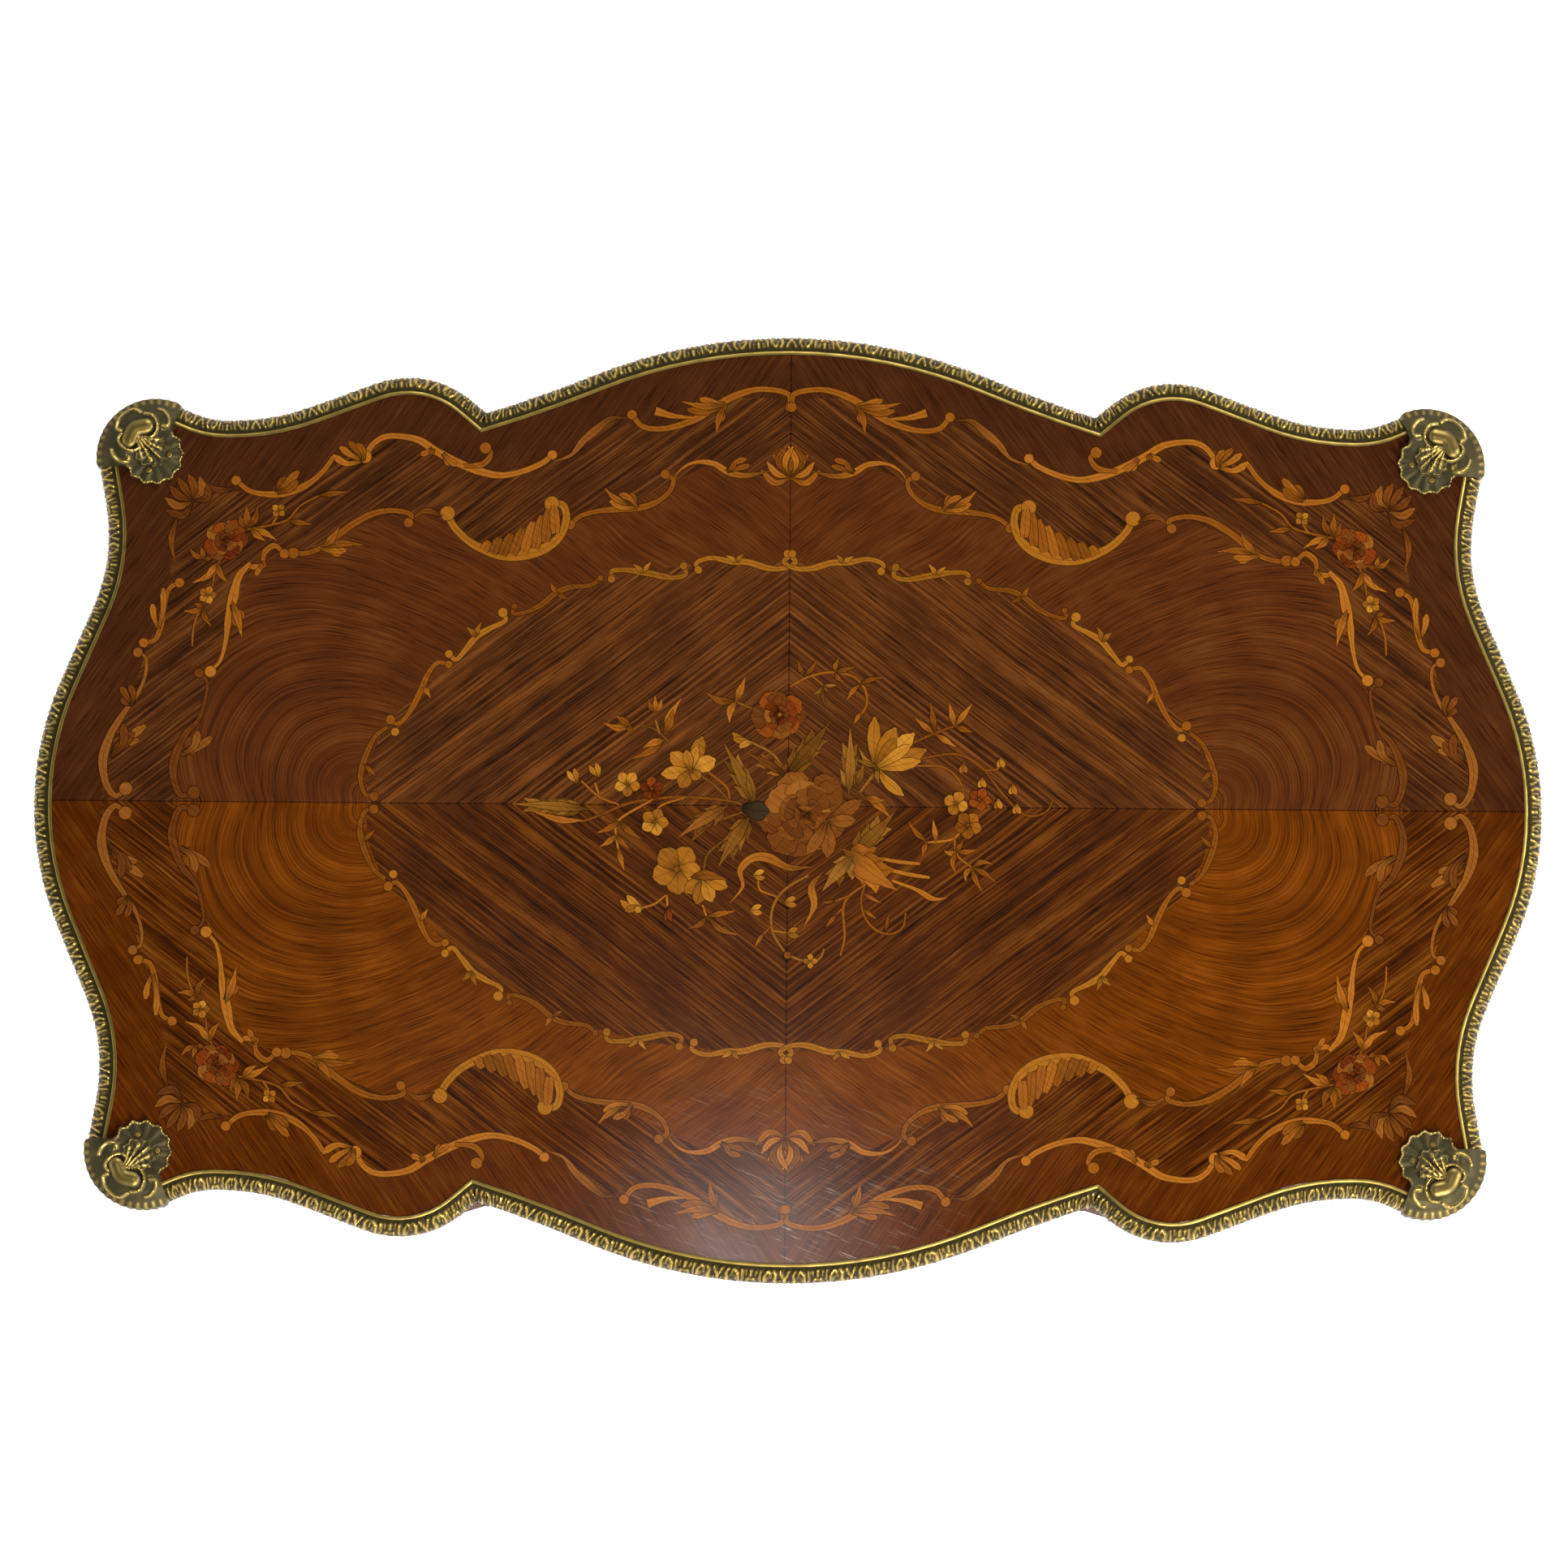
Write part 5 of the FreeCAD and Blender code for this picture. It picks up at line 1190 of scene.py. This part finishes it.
def inlay_wood(name, tones):
    """Sawn and sand-shaded inlay under polish: fine straight fibres, a dark edge and a darker root."""

    def build(tree):
        cut = add(tree, "Attribute", out=None, attribute_name="cut")
        edge, half, along = add(tree, "SeparateColor", {0: cut["Color"]}, out=None)
        place = add(tree, "TexCoord", out="Object")
        turned = {"Vector": place, "Rotation": (0, 0, INLAY_TURN), "Scale": INLAY_FIBRE}
        fibres = add(tree, "Mapping", turned, vector_type="TEXTURE")
        fibres = add(tree, "TexNoise", {"Vector": fibres, "Scale": 1.0, "Detail": 2.0})
        tone = add(tree, "Math", {0: cut["Alpha"], 1: 0.4, 2: 0.05}, operation="MULTIPLY_ADD")
        tone = add(tree, "Math", {0: fibres, 1: 0.5, 2: tone}, operation="MULTIPLY_ADD")
        colour = add(tree, "ValToRGB", {"Fac": tone}, stops=zip((0.2, 0.5, 0.8), tones))
        root = {"Value": along, 1: 0.0, 2: SCORCH[0], 3: SCORCH[1], 4: 1.0}
        root = add(tree, "MapRange", root, interpolation_type="SMOOTHSTEP")
        rim = add(tree, "Math", {0: half, 1: RIM_SHARE}, operation="MULTIPLY")
        rim = add(tree, "Math", {0: rim, 1: RIM_MOST}, operation="MINIMUM")
        cleft = add(tree, "Math", {0: rim, 1: 0.5}, operation="MULTIPLY")
        line = add(tree, "MapRange", {"Value": edge, 1: cleft, 2: rim, 3: GLUE_DARK, 4: 1.0})
        middle = add(tree, "Math", {0: half, 1: edge}, operation="SUBTRACT")
        wide = add(tree, "MapRange", {"Value": half, 1: 0.16, 2: 0.3, 3: 1.0, 4: 0.5})
        vein = add(tree, "MapRange", {"Value": middle, 1: 0.018, 2: 0.036, 3: wide, 4: 1.0})
        for shade in (root, line, vein):
            colour = add(tree, "Mix", {"Factor": 1.0, 6: colour, 7: shade}, **SHADE)
        return {"Base Color": colour, "Coat Roughness": 0.15, **POLISH}

    return finish_material("inlay_" + name, build)


for wood, store in laid.items():
    sheet = bpy.data.meshes.new("inlay_" + wood)
    sheet.from_pydata(store["verts"], [], store["faces"])
    sheet.attributes.new("cut", "FLOAT_COLOR", "POINT").data.foreach_set("color", store["cut"])
    sheet.materials.append(inlay_wood(wood, INLAY_TONES[wood]))
    piece = new_piece("inlay_" + wood, sheet)
    thick = piece.modifiers.new("thickness", "SOLIDIFY")
    thick.thickness = SHEET_THICK
    thick.offset = -1
    bpy.ops.object.modifier_apply(modifier="thickness")
    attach(piece, "desk")
    print(piece.name, store["count"], "strokes", len(piece.data.polygons), "faces")

# %% [markdown]
# ## Corner clasps
# Each corner is gripped by one casting: a ruffled shell that lies on the wood, a bean-shaped boss framed by
# C-scrolls over the corner itself, and a skirt that hides the ends of the moulding. Sculpting it by hand
# would not come out the same on each run, so its surface is worked out as a height over a round plan.
# Places are in mm outwards and sideways from the middle of the corner's round.

# %% Plan of a clasp
SHELL_AT, SHELL_R, RUFFLES = 1.0, 25.5, 13
SHELL_LOW, SHELL_DOME = 2.3, 2.4        # height at the rim, and what the dome adds in the middle
RUFFLE_DEEP, RUFFLE_HIGH = 0.045, 0.8   # share of the radius, and mm
RIM_HIGH, RIM_IN, RIM_WIDE, RIM_BEADS = 1.6, 0.9, 1.1, 52
FAN_AT, FAN_R, FAN_RUFFLES = 5.0, 14.0, 11
FAN_DEEP, FAN_STEP, FAN_GROOVE = 0.07, 1.5, 0.4
FAN_RIM_IN, FAN_RIM_WIDE = 0.7, 0.8
SKIRT_R, SKIRT_WALL, SKIRT_DEEP, SKIRT_INNER = 50.4, 51.4, -26.8, 33.5
SKIRT_FALL = ((0, 1.0), (20, 5.2), (28, 6.4), (36, 5.2), (41, 2.6), (45, -0.6), (50.4, -4.6))
SKIRT_FLUTES, FLUTE_HIGH = 44, 0.9
BOSS_LINE = ((23.5, -9.0), (28.0, 0.5), (24.5, 10.0))
BOSS_WIDE, BOSS_LOW, BOSS_HIGH = 7.0, 5.6, 3.9
SCREW_SPOTS = ((-7.4, -10.8), (-7.4, 10.8))
SCREW_SEAT = 3.85           # height of the flat under a screw's head
RIDGES = [                  # points of a line, half width and height
    (((13, -6), (15, -13), (22, -17), (29.5, -16), (31.5, -11.5)), 1.2, 1.9),
    (((18, 4), (14.5, 7.5), (15.5, 14), (21, 19), (28.5, 20), (34, 15.5)), 1.2, 1.9),
    (((34.5, -10), (39, -11.5), (44, -5.5), (45.5, 3.5), (43, 11), (37, 13.5)), 1.2, 1.9),
    (((26, -26.5), (19, -28), (12.5, -26), (9.5, -21), (12, -18)), 1.2, 1.8),
    (((16, 21), (13.5, 25.5), (18.5, 30), (26, 30), (30, 27.5)), 1.2, 1.8),
    (((20, -4), (12, -6.5), (5, -9.5)), 1.3, 1.4),
    (((19.5, -2.5), (9.5, -3), (-2, -4.5)), 1.4, 1.6),
    (((19.5, -0.5), (8.5, 0.8), (-4, 3.2)), 1.4, 1.6),
    (((19, 1), (10, 4), (1, 8)), 1.4, 1.5),
    (((18, 2.5), (12, 7.5), (7, 12)), 1.2, 1.3),
]
FAR = 12                    # mm past which a line is too far to matter


def ridge_curves(ridges):
    """Ridges with a smooth curve in place of their points."""
    return [(smooth_line([Vector(p) for p in points]), wide, high) for points, wide, high in ridges]


def away(line, e, t):
    """Distance from a place to a line of points, in mm; far ones are not worked out."""
    best = 99.0
    for a, b in zip(line, line[1:]):
        if abs(a.x - e) < FAR and abs(a.y - t) < FAR:
            step = b - a
            part = min(max(((e - a.x) * step.x + (t - a.y) * step.y) / step.length_squared, 0), 1)
            best = min(best, math.hypot(e - a.x - step.x * part, t - a.y - step.y * part))
    return best


def ease(low, high, value):
    """Smooth step from 0 at low to 1 at high."""
    f = min(max((value - low) / (high - low), 0), 1)
    return f * f * (3 - 2 * f)


def fall(r):
    """Height of the skirt at a distance from the middle of the corner's round."""
    for (r0, h0), (r1, h1) in zip(SKIRT_FALL, SKIRT_FALL[1:]):
        if r <= r1:
            return h0 + (h1 - h0) * (r - r0) / (r1 - r0)
    return SKIRT_FALL[-1][1]


clasp_ridges = ridge_curves(RIDGES)
boss_line = smooth_line([Vector(p) for p in BOSS_LINE])
print("clasp ridges", len(clasp_ridges))

# %% [markdown]
# The height adds up from below: the dome and ruffles of the shell, a smaller fan on it, the skirt over the
# corner, then ridges and the boss. The seats of the two screws come last, because they have to stay flat.
# The relief that goes with the height tells the gilding where it is rubbed bright.

# %% Height of a clasp
def shell_height(e, t):
    """Height of the shell with its fan, and what its beaded edges add."""
    round_at = math.atan2(t, SHELL_AT - e)
    wave = math.cos(RUFFLES * round_at)
    rim = SHELL_R * (1 + RUFFLE_DEEP * wave)
    share = min(math.hypot(e - SHELL_AT, t) / rim, 1.2)
    height = SHELL_LOW + SHELL_DOME * (1 - share ** 2) + RUFFLE_HIGH * share ** 2 * wave
    edge = RIM_HIGH * math.exp(-(((1 - share) * rim - RIM_IN) / RIM_WIDE) ** 2)
    edge *= 0.8 + 0.2 * math.cos(RIM_BEADS * round_at)
    fan_wave = math.cos(FAN_RUFFLES * math.atan2(t, FAN_AT - e))
    fan = FAN_R * (1 + FAN_DEEP * fan_wave) - math.hypot(e - FAN_AT, t)
    edge += math.exp(-((fan - FAN_RIM_IN) / FAN_RIM_WIDE) ** 2)
    return height + FAN_STEP * ease(-0.3, 1.2, fan) - FAN_GROOVE * ease(0, 4, fan) * fan_wave, edge


def clasp_surface(e, t):
    """Height over the wood in mm, and relief from 0 to 1, at a place outwards and sideways."""
    height, edge = shell_height(e, t)
    r = math.hypot(e, t)
    over = ease(math.radians(105), math.radians(70), abs(math.atan2(t, e)))
    height = height + (max(height, fall(r)) - height) * over if r < SHELL_R else fall(r)
    edge *= 1 - ease(22, 27, r) * over
    flutes = 0.5 + 0.5 * math.cos(SKIRT_FLUTES * math.atan2(t, e))
    edge += FLUTE_HIGH * ease(44, 47, r) * flutes * over
    for line, wide, high in clasp_ridges:
        edge = max(edge, high * math.exp(-(away(line, e, t) / wide) ** 2))
    boss = away(boss_line, e, t) / BOSS_WIDE
    relief = 0.1 + 0.55 * edge
    if boss < 1:
        round_top = math.sqrt(1 - boss ** 2)
        height = max(height, BOSS_LOW + BOSS_HIGH * round_top)
        edge *= ease(0.8, 1, boss)
        relief = max(relief * ease(0.7, 1, boss), 0.75 * round_top)
    for at in SCREW_SPOTS:
        near = ease(4.6, 3.4, math.hypot(e - at[0], t - at[1]))
        height += (SCREW_SEAT - height) * near
        edge *= 1 - near
        relief *= 1 - 0.7 * near
    return height + edge, relief


print("clasp is", round(clasp_surface(*BOSS_LINE[1])[0], 1), "mm high at the boss")

# %% [markdown]
# The plan is a polar grid: spokes round the middle, each with rings out to the ruffled rim. On the side of
# the corner the rim reaches out to the skirt, goes down its wall and back under it; elsewhere the wall is
# only as high as the shell. A point above and one below close the grid to a solid.

# %% Grid of one clasp
CLASP_RINGS = 64
CLASP_SPOKES = 288
SKIRT_FROM, SKIRT_FULL = math.radians(73), math.radians(61)
WALL_STEPS = ((0.15, 0.5), (0.5, 1.0), (0.92, 1.0), (1.0, 0.7))    # share of the way down, and outwards
WALL_FLUTE = 0.4
LIP = 0.4                   # mm that the underside keeps back from the rim


def clasp_spoke(turn):
    """Points of one spoke as (distance, height, relief)."""
    skirt = ease(SKIRT_FROM, SKIRT_FULL, abs(turn))
    wave = math.cos(RUFFLES * (math.pi - abs(turn)))
    reach = SHELL_AT * math.cos(turn) + SHELL_R * (1 + RUFFLE_DEEP * wave)
    reach += (SKIRT_R - reach) * skirt
    inner = reach - LIP + (SKIRT_INNER - reach + LIP) * skirt
    deep = SKIRT_DEEP * skirt
    spoke = []
    for k in range(1, CLASP_RINGS + 1):
        r = reach * k / CLASP_RINGS
        spoke.append((r, *clasp_surface(r * math.cos(turn), r * math.sin(turn))))
    rim_high = spoke[-1][1]
    flute = WALL_FLUTE * math.cos(SKIRT_FLUTES * turn) * skirt
    for down, out in WALL_STEPS:
        r = reach + (SKIRT_WALL - SKIRT_R) * skirt * out + flute
        spoke.append((r, rim_high + (deep - rim_high) * down, 0.25))
    return spoke + [(inner, deep, 0.1), (inner - 0.3, 0.0, 0.1)]


grid, grid_relief = [(0.0, 0.0, clasp_surface(0, 0)[0])], [0.4]
for i in range(CLASP_SPOKES):
    turn = 2 * math.pi * i / CLASP_SPOKES - math.pi
    spoke = clasp_spoke(turn)
    grid += [(r * math.cos(turn), r * math.sin(turn), high) for r, high, _ in spoke]
    grid_relief += [relief for _, _, relief in spoke]
around = len(spoke)
grid.append((0.0, 0.0, 0.0))
grid_relief.append(0.1)
grid_faces = []
for i in range(CLASP_SPOKES):
    a, b = 1 + i * around, 1 + (i + 1) % CLASP_SPOKES * around
    grid_faces += [(0, a, b), (len(grid) - 1, b + around - 1, a + around - 1)]
    grid_faces += [(a + k, a + k + 1, b + k + 1, b + k) for k in range(around - 1)]
print("clasp", len(grid), "points", len(grid_faces), "faces")

# %% [markdown]
# The corner of the top is an arc, and the clasp belongs on its centre. The circle through three points of
# the outline gives that centre. The grid is then set down on the back right corner and mirrored to the
# others, each with its own mesh.

# %% Clasps on the corners
CLASP_TURN = math.radians(52.4)     # direction of the corner, seen from the middle of its round
FOUR_CORNERS = [(f"{side}_{end}", sx, sy) for side, sy in (("front", -1), ("back", 1))
                for end, sx in (("left", -1), ("right", 1))]


def round_centre(a, b, c):
    """Centre of the circle through three points of an outline."""
    d = 2 * (a.x * (b.y - c.y) + b.x * (c.y - a.y) + c.x * (a.y - b.y))
    squares = [p.x ** 2 + p.y ** 2 for p in (a, b, c)]
    x = squares[0] * (b.y - c.y) + squares[1] * (c.y - a.y) + squares[2] * (a.y - b.y)
    y = squares[0] * (c.x - b.x) + squares[1] * (a.x - c.x) + squares[2] * (b.x - a.x)
    return Vector((x / d, y / d))


back_right = corners[-1]
clasp_middle = round_centre(*(outline[(back_right + k) % len(outline)] for k in (-2, 0, 2)))
print("round of the corner about", [round(c, 4) for c in clasp_middle])
outwards = Vector((math.cos(CLASP_TURN), math.sin(CLASP_TURN)))
for corner, sx, sy in FOUR_CORNERS:
    verts = []
    for e, t, high in grid:
        x = clasp_middle.x + (outwards.x * e - outwards.y * t) * MM
        y = clasp_middle.y + (outwards.y * e + outwards.x * t) * MM
        verts.append((x * sx, y * sy, top_z + high * MM))
    clasp = relief_piece("shell_clasp_" + corner, verts, grid_faces, grid_relief, dull_bronze)
    cast_mount(clasp, "corner_clasp_" + corner)

# %% [markdown]
# ## Wood below the top
# The frieze and the legs carry the same striped palisander, laid on the slant and opened like a book on
# each side. The carcass and the drawers are plain oak, waxed but not polished, so its pores stay open. Each
# pattern is stretched along the grain of its own piece, and finer streaks are added twice at a third of the
# size.

# %% Woods of the frieze, legs, carcass and drawers
STREAKS = ((0.55, 1.0), (0.4, 2.0), (0.3, 1.5))     # strength and detail, coarse to fine
FINER = 0.3
SAWN_PORE = 0.1 * MM
PALISANDER = ("#241207", "#4C280F", "#784C22")
OAK = ("#6B4A28", "#94703F", "#B8925C")
SLANT = math.radians(40)
FRIEZE = ["back_apron", "false_drawer_fronts", "front_lower_rail", "front_upper_rail", "back_upper_rail",
          "divider_left", "divider_right", "drawer_left_front", "drawer_centre_front", "drawer_right_front"]


def sawn_wood(name, tones, grain, turn=(0, 0, 0), polished=False):
    """Wood with streaks of a size in mm along x, y and z, turned as laid; polished wood is book-matched."""

    def build(tree):
        place = add(tree, "TexCoord", out="Object")
        if polished:
            place = add(tree, "VectorMath", {0: place}, operation="ABSOLUTE")
        tone, share = 0.5, 1.0
        for gain, detail in STREAKS:
            turned = {"Vector": place, "Rotation": turn, "Scale": [g * share * MM for g in grain]}
            streak = add(tree, "Mapping", turned, vector_type="TEXTURE")
            streak = add(tree, "TexNoise", {"Vector": streak, "Scale": 1.0, "Detail": detail})
            off = add(tree, "Math", {0: streak, 1: 0.5}, operation="SUBTRACT")
            tone = add(tree, "Math", {0: off, 1: gain, 2: tone}, operation="MULTIPLY_ADD")
            share *= FINER
        colour = add(tree, "ValToRGB", {"Fac": tone}, stops=zip(TONE_PLACES, tones))
        pores = add(tree, "MapRange", {"Value": streak, 1: 0.34, 2: 0.45, 3: 0.6, 4: 1.0})
        colour = add(tree, "Mix", {"Factor": 1.0, 6: colour, 7: pores}, **SHADE)
        dent = add(tree, "Bump", {"Height": pores, "Strength": 0.4, "Distance": SAWN_PORE})
        return {"Base Color": colour, "Roughness": 0.55, "Normal": dent, "Coat Roughness": 0.14,
                "Specular IOR Level": 0.0 if polished else 0.3, "Coat Weight": 0.1 if polished else 0.0}

    return finish_material(name, build)


drawer_parts = shown("drawer_")
dress(FRIEZE, sawn_wood("palisander_frieze_long", PALISANDER, (6, 500, 320), (0, SLANT, 0), True))
dress(["apron_left", "apron_right"],
      sawn_wood("palisander_frieze_ends", PALISANDER, (500, 6, 320), (-SLANT, 0, 0), True))
dress(shown("leg_"), sawn_wood("palisander_legs", PALISANDER, (7, 7, 420), (0, 0, 0.4), True))
dress(["top_core"], sawn_wood("oak_along_desk", OAK, (360, 8, 8)))
dress(["drawer_runners"] + [n for n in drawer_parts if n.endswith(("_sides", "_bottom"))],
      sawn_wood("oak_front_to_back", OAK, (8, 320, 8)))
print("woods below the top on", len(FRIEZE) + 2 + len(shown("leg_")), "polished nodes")

# %% [markdown]
# ## Steel and smooth bronze
# Screws, locks and bolts are filed steel: grey, with fine strokes of the file that spread its shine, and a
# breath of rust. Escutcheons and the screws of the clasps are smooth gilt bronze.

# %% Steel and bronze below the top
FILE_TURN = 0.5
FILE_STROKE = (0.3 * MM, 9 * MM, 2 * MM)
RUST_SIZE = 6.25 * MM


def filed_steel(tree):
    """Grey steel with file strokes and a breath of rust."""
    place = add(tree, "TexCoord", out="Object")
    turned = {"Vector": place, "Rotation": (0, 0, FILE_TURN), "Scale": FILE_STROKE}
    strokes = add(tree, "Mapping", turned, vector_type="TEXTURE")
    strokes = add(tree, "TexNoise", {"Vector": strokes, "Scale": 1.0, "Detail": 2.0})
    rust = add(tree, "TexNoise", {"Vector": place, "Scale": 1 / RUST_SIZE, "Detail": 4.0})
    colour = add(tree, "ValToRGB", {"Fac": rust}, stops=[(0.5, "#8E8A84"), (0.72, "#6E5A48")])
    rough = add(tree, "MapRange", {"Value": strokes, 1: 0.3, 2: 0.7, 3: 0.3, 4: 0.55})
    dent = add(tree, "Bump", {"Height": strokes, "Strength": 0.2, "Distance": 0.05 * MM})
    return {"Base Color": colour, "Metallic": 1.0, "Roughness": rough, "Normal": dent}


steel_parts = ["top_screws"] + [n for n in drawer_parts if n.endswith(("_lock", "_bolt"))]
bronze_parts = ["clasp_screws", "back_escutcheons"] + [n for n in drawer_parts if n.endswith("_escutcheon")]
dress(steel_parts, finish_material("steel_filed", filed_steel))
dress(bronze_parts, smooth_bronze)
print("steel on", len(steel_parts), "nodes, smooth bronze on", len(bronze_parts))

# %% [markdown]
# ## Chased mounts on the legs
# Knee mounts and shoes are castings with acanthus worked over them. Each starts as a copy of its plain
# solid, is remeshed finely enough to carry the chasing, and then has its outer points lifted along their
# normals by ridges drawn on a flat plan: sideways and down from the top edge, in millimetres. One of each
# is chased and mirrored.

# %% Chasing
def cast_copy(name, node, voxel):
    """Copy of a plain solid with even small faces, of a size in mm."""
    piece = new_piece(name, nodes[node].data.copy())
    even = piece.modifiers.new("even", "REMESH")
    even.mode = "VOXEL"
    even.voxel_size = voxel * MM
    bpy.ops.object.modifier_apply(modifier="even")
    return piece


def chase(piece, plan, ridges, lift):
    """Lift the points of a casting; plan gives (sideways, down, facing), facing 0 on hidden sides."""
    lines = ridge_curves(ridges)
    relief, moves = [], []
    for vertex in piece.data.vertices:
        side, down, facing = plan(vertex.co, vertex.normal)
        high = 0.0
        if facing > 0:
            for line, wide, tall in lines:
                high = max(high, tall * math.exp(-(away(line, side, down) / wide) ** 2))
        relief.append(0.15 + 0.8 * high * facing)
        moves.append(vertex.normal * high * facing * lift * MM)
    for vertex, move in zip(piece.data.vertices, moves):
        vertex.co += move
    piece.data.attributes.new("relief", "FLOAT", "POINT").data.foreach_set("value", relief)
    piece.data.materials.clear()
    piece.data.materials.append(worn_bronze)
    bpy.ops.object.shade_smooth()


def mirror_to_corners(piece, base, node_base):
    """Put mirrored copies of the back right piece on the other corners, each in place of its plain node."""
    for corner, sx, sy in FOUR_CORNERS:
        made = piece
        if (sx, sy) != (1, 1):
            made = new_piece("piece", piece.data.copy())
            for vertex in made.data.vertices:
                vertex.co = Vector((vertex.co.x * sx, vertex.co.y * sy, vertex.co.z))
            if sx * sy < 0:
                made.data.flip_normals()
        made.name = f"{base}_{corner}"
        cast_mount(made, f"{node_base}_{corner}")
    print(base, len(piece.data.vertices), "points each")


print("plain mounts:", len(shown("knee_mount_")), "knees,", len(shown("sabot_")), "shoes")

# %% [markdown]
# A knee mount has a leafy cartouche at the top, a rounded drop in it, and a long acanthus leaf that runs
# down the corner of the leg, with paired veins and a string of husks at its end.

# %% Knee mounts
KNEE_VOXEL, KNEE_LIFT = 1.2, 1.7    # mm
VEINS, VEIN_STEP = 7, 13
HUSKS, HUSK_STEP = 5, 12
KNEE_RIDGES = [(((0, 62), (0, 120), (0, 178)), 1.5, 0.8)]
for k in range(VEINS):
    out, down = 8 + 6 * math.sin(math.pi * (k + 1) / (VEINS + 1)), VEIN_STEP * k
    KNEE_RIDGES.append((((0, 92 + down), (out * 0.55, 81 + down), (out, 66 + down)), 2.6, 0.8))
for k in range(HUSKS):
    down = 184 + HUSK_STEP * k
    KNEE_RIDGES.append((((0, down), (0, down + 4), (0, down + 8)), 2.6 - 0.35 * k, 0.9))
KNEE_RIDGES += [(((0, 34), (out, 22), (out * 2, 7)), 1.5, 0.8) for out in (0, 3.4, 6.6)]
KNEE_RIDGES += [
    (((3, 54), (13, 58), (18, 46), (15, 32), (19, 20), (15, 7)), 1.6, 1.0),
    (((0, 42), (0, 45), (0, 48)), 5.0, 1.0),
]
knee_low, knee_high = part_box("knee_mount_back_right")
knee_middle = (knee_low[0] + knee_high[0] - knee_low[1] - knee_high[1]) / 2


def knee_plan(place, normal):
    """Sideways of the leg's corner line, down from the top edge, and whether a point faces out."""
    side = (place.x - place.y - knee_middle) / math.sqrt(2) / MM
    return abs(side), (knee_high[2] - place.z) / MM, ease(0.1, 0.5, (normal.x + normal.y) / math.sqrt(2))


knee = cast_copy("knee_mount", "knee_mount_back_right", KNEE_VOXEL)
chase(knee, knee_plan, KNEE_RIDGES, KNEE_LIFT)
mirror_to_corners(knee, "chased_knee", "knee_mount")

# %% [markdown]
# A shoe is wrapped in upright leaves. One leaf is drawn, half of it, and the plan folds the way round the
# shoe onto that half. The shoe leans with the leg, so the way round is measured about a line between the
# middles of its lowest and highest rings.

# %% Shoes
SHOE_VOXEL, SHOE_LIFT = 1.3, 1.5    # mm
SHOE_LEAVES = 8
SHOE_RADIUS = 27                    # mm, for the width of a leaf
RING_BAND = 4 * MM                  # how near the ends a point counts as part of an end ring
SHOE_RIDGES = [
    (((0, 4), (0, 30), (0, 66)), 1.3, 0.9),
    (((9, 2.5), (5, 1), (0, 0.5)), 1.6, 0.8),
    (((10.5, 6), (9.5, 30), (3, 60), (0, 68)), 1.2, 0.9),
    (((0, 74), (6, 74), (12, 74)), 2.0, 1.0),
]
SHOE_RIDGES += [(((0, 20 + 11 * k), (3.5, 13 + 11 * k), (7.5 - k, 7 + 11 * k)), 1.2, 0.6) for k in range(4)]
leaf_wide = 2 * math.pi * SHOE_RADIUS / SHOE_LEAVES
shoe_low, shoe_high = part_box("sabot_back_right")
shoe_ends = []
for level in (shoe_low[2], shoe_high[2]):
    ring = [v.co for v in nodes["sabot_back_right"].data.vertices if abs(v.co.z - level) < RING_BAND]
    shoe_ends.append(Vector([(min(c[i] for c in ring) + max(c[i] for c in ring)) / 2 for i in range(3)]))


def shoe_plan(place, normal):
    """Place on one of the leaves round the shoe, down from its top edge, and whether a point faces out."""
    middle = shoe_ends[0].lerp(shoe_ends[1], (place.z - shoe_low[2]) / (shoe_high[2] - shoe_low[2]))
    out = Vector((place.x - middle.x, place.y - middle.y, 0))
    leaf = (math.atan2(out.y, out.x) / (2 * math.pi) * SHOE_LEAVES) % 1 - 0.5
    return abs(leaf) * leaf_wide, (shoe_high[2] - place.z) / MM, ease(0.1, 0.4, normal.dot(out.normalized()))


shoe = cast_copy("shoe", "sabot_back_right", SHOE_VOXEL)
chase(shoe, shoe_plan, SHOE_RIDGES, SHOE_LIFT)
mirror_to_corners(shoe, "chased_shoe", "sabot")
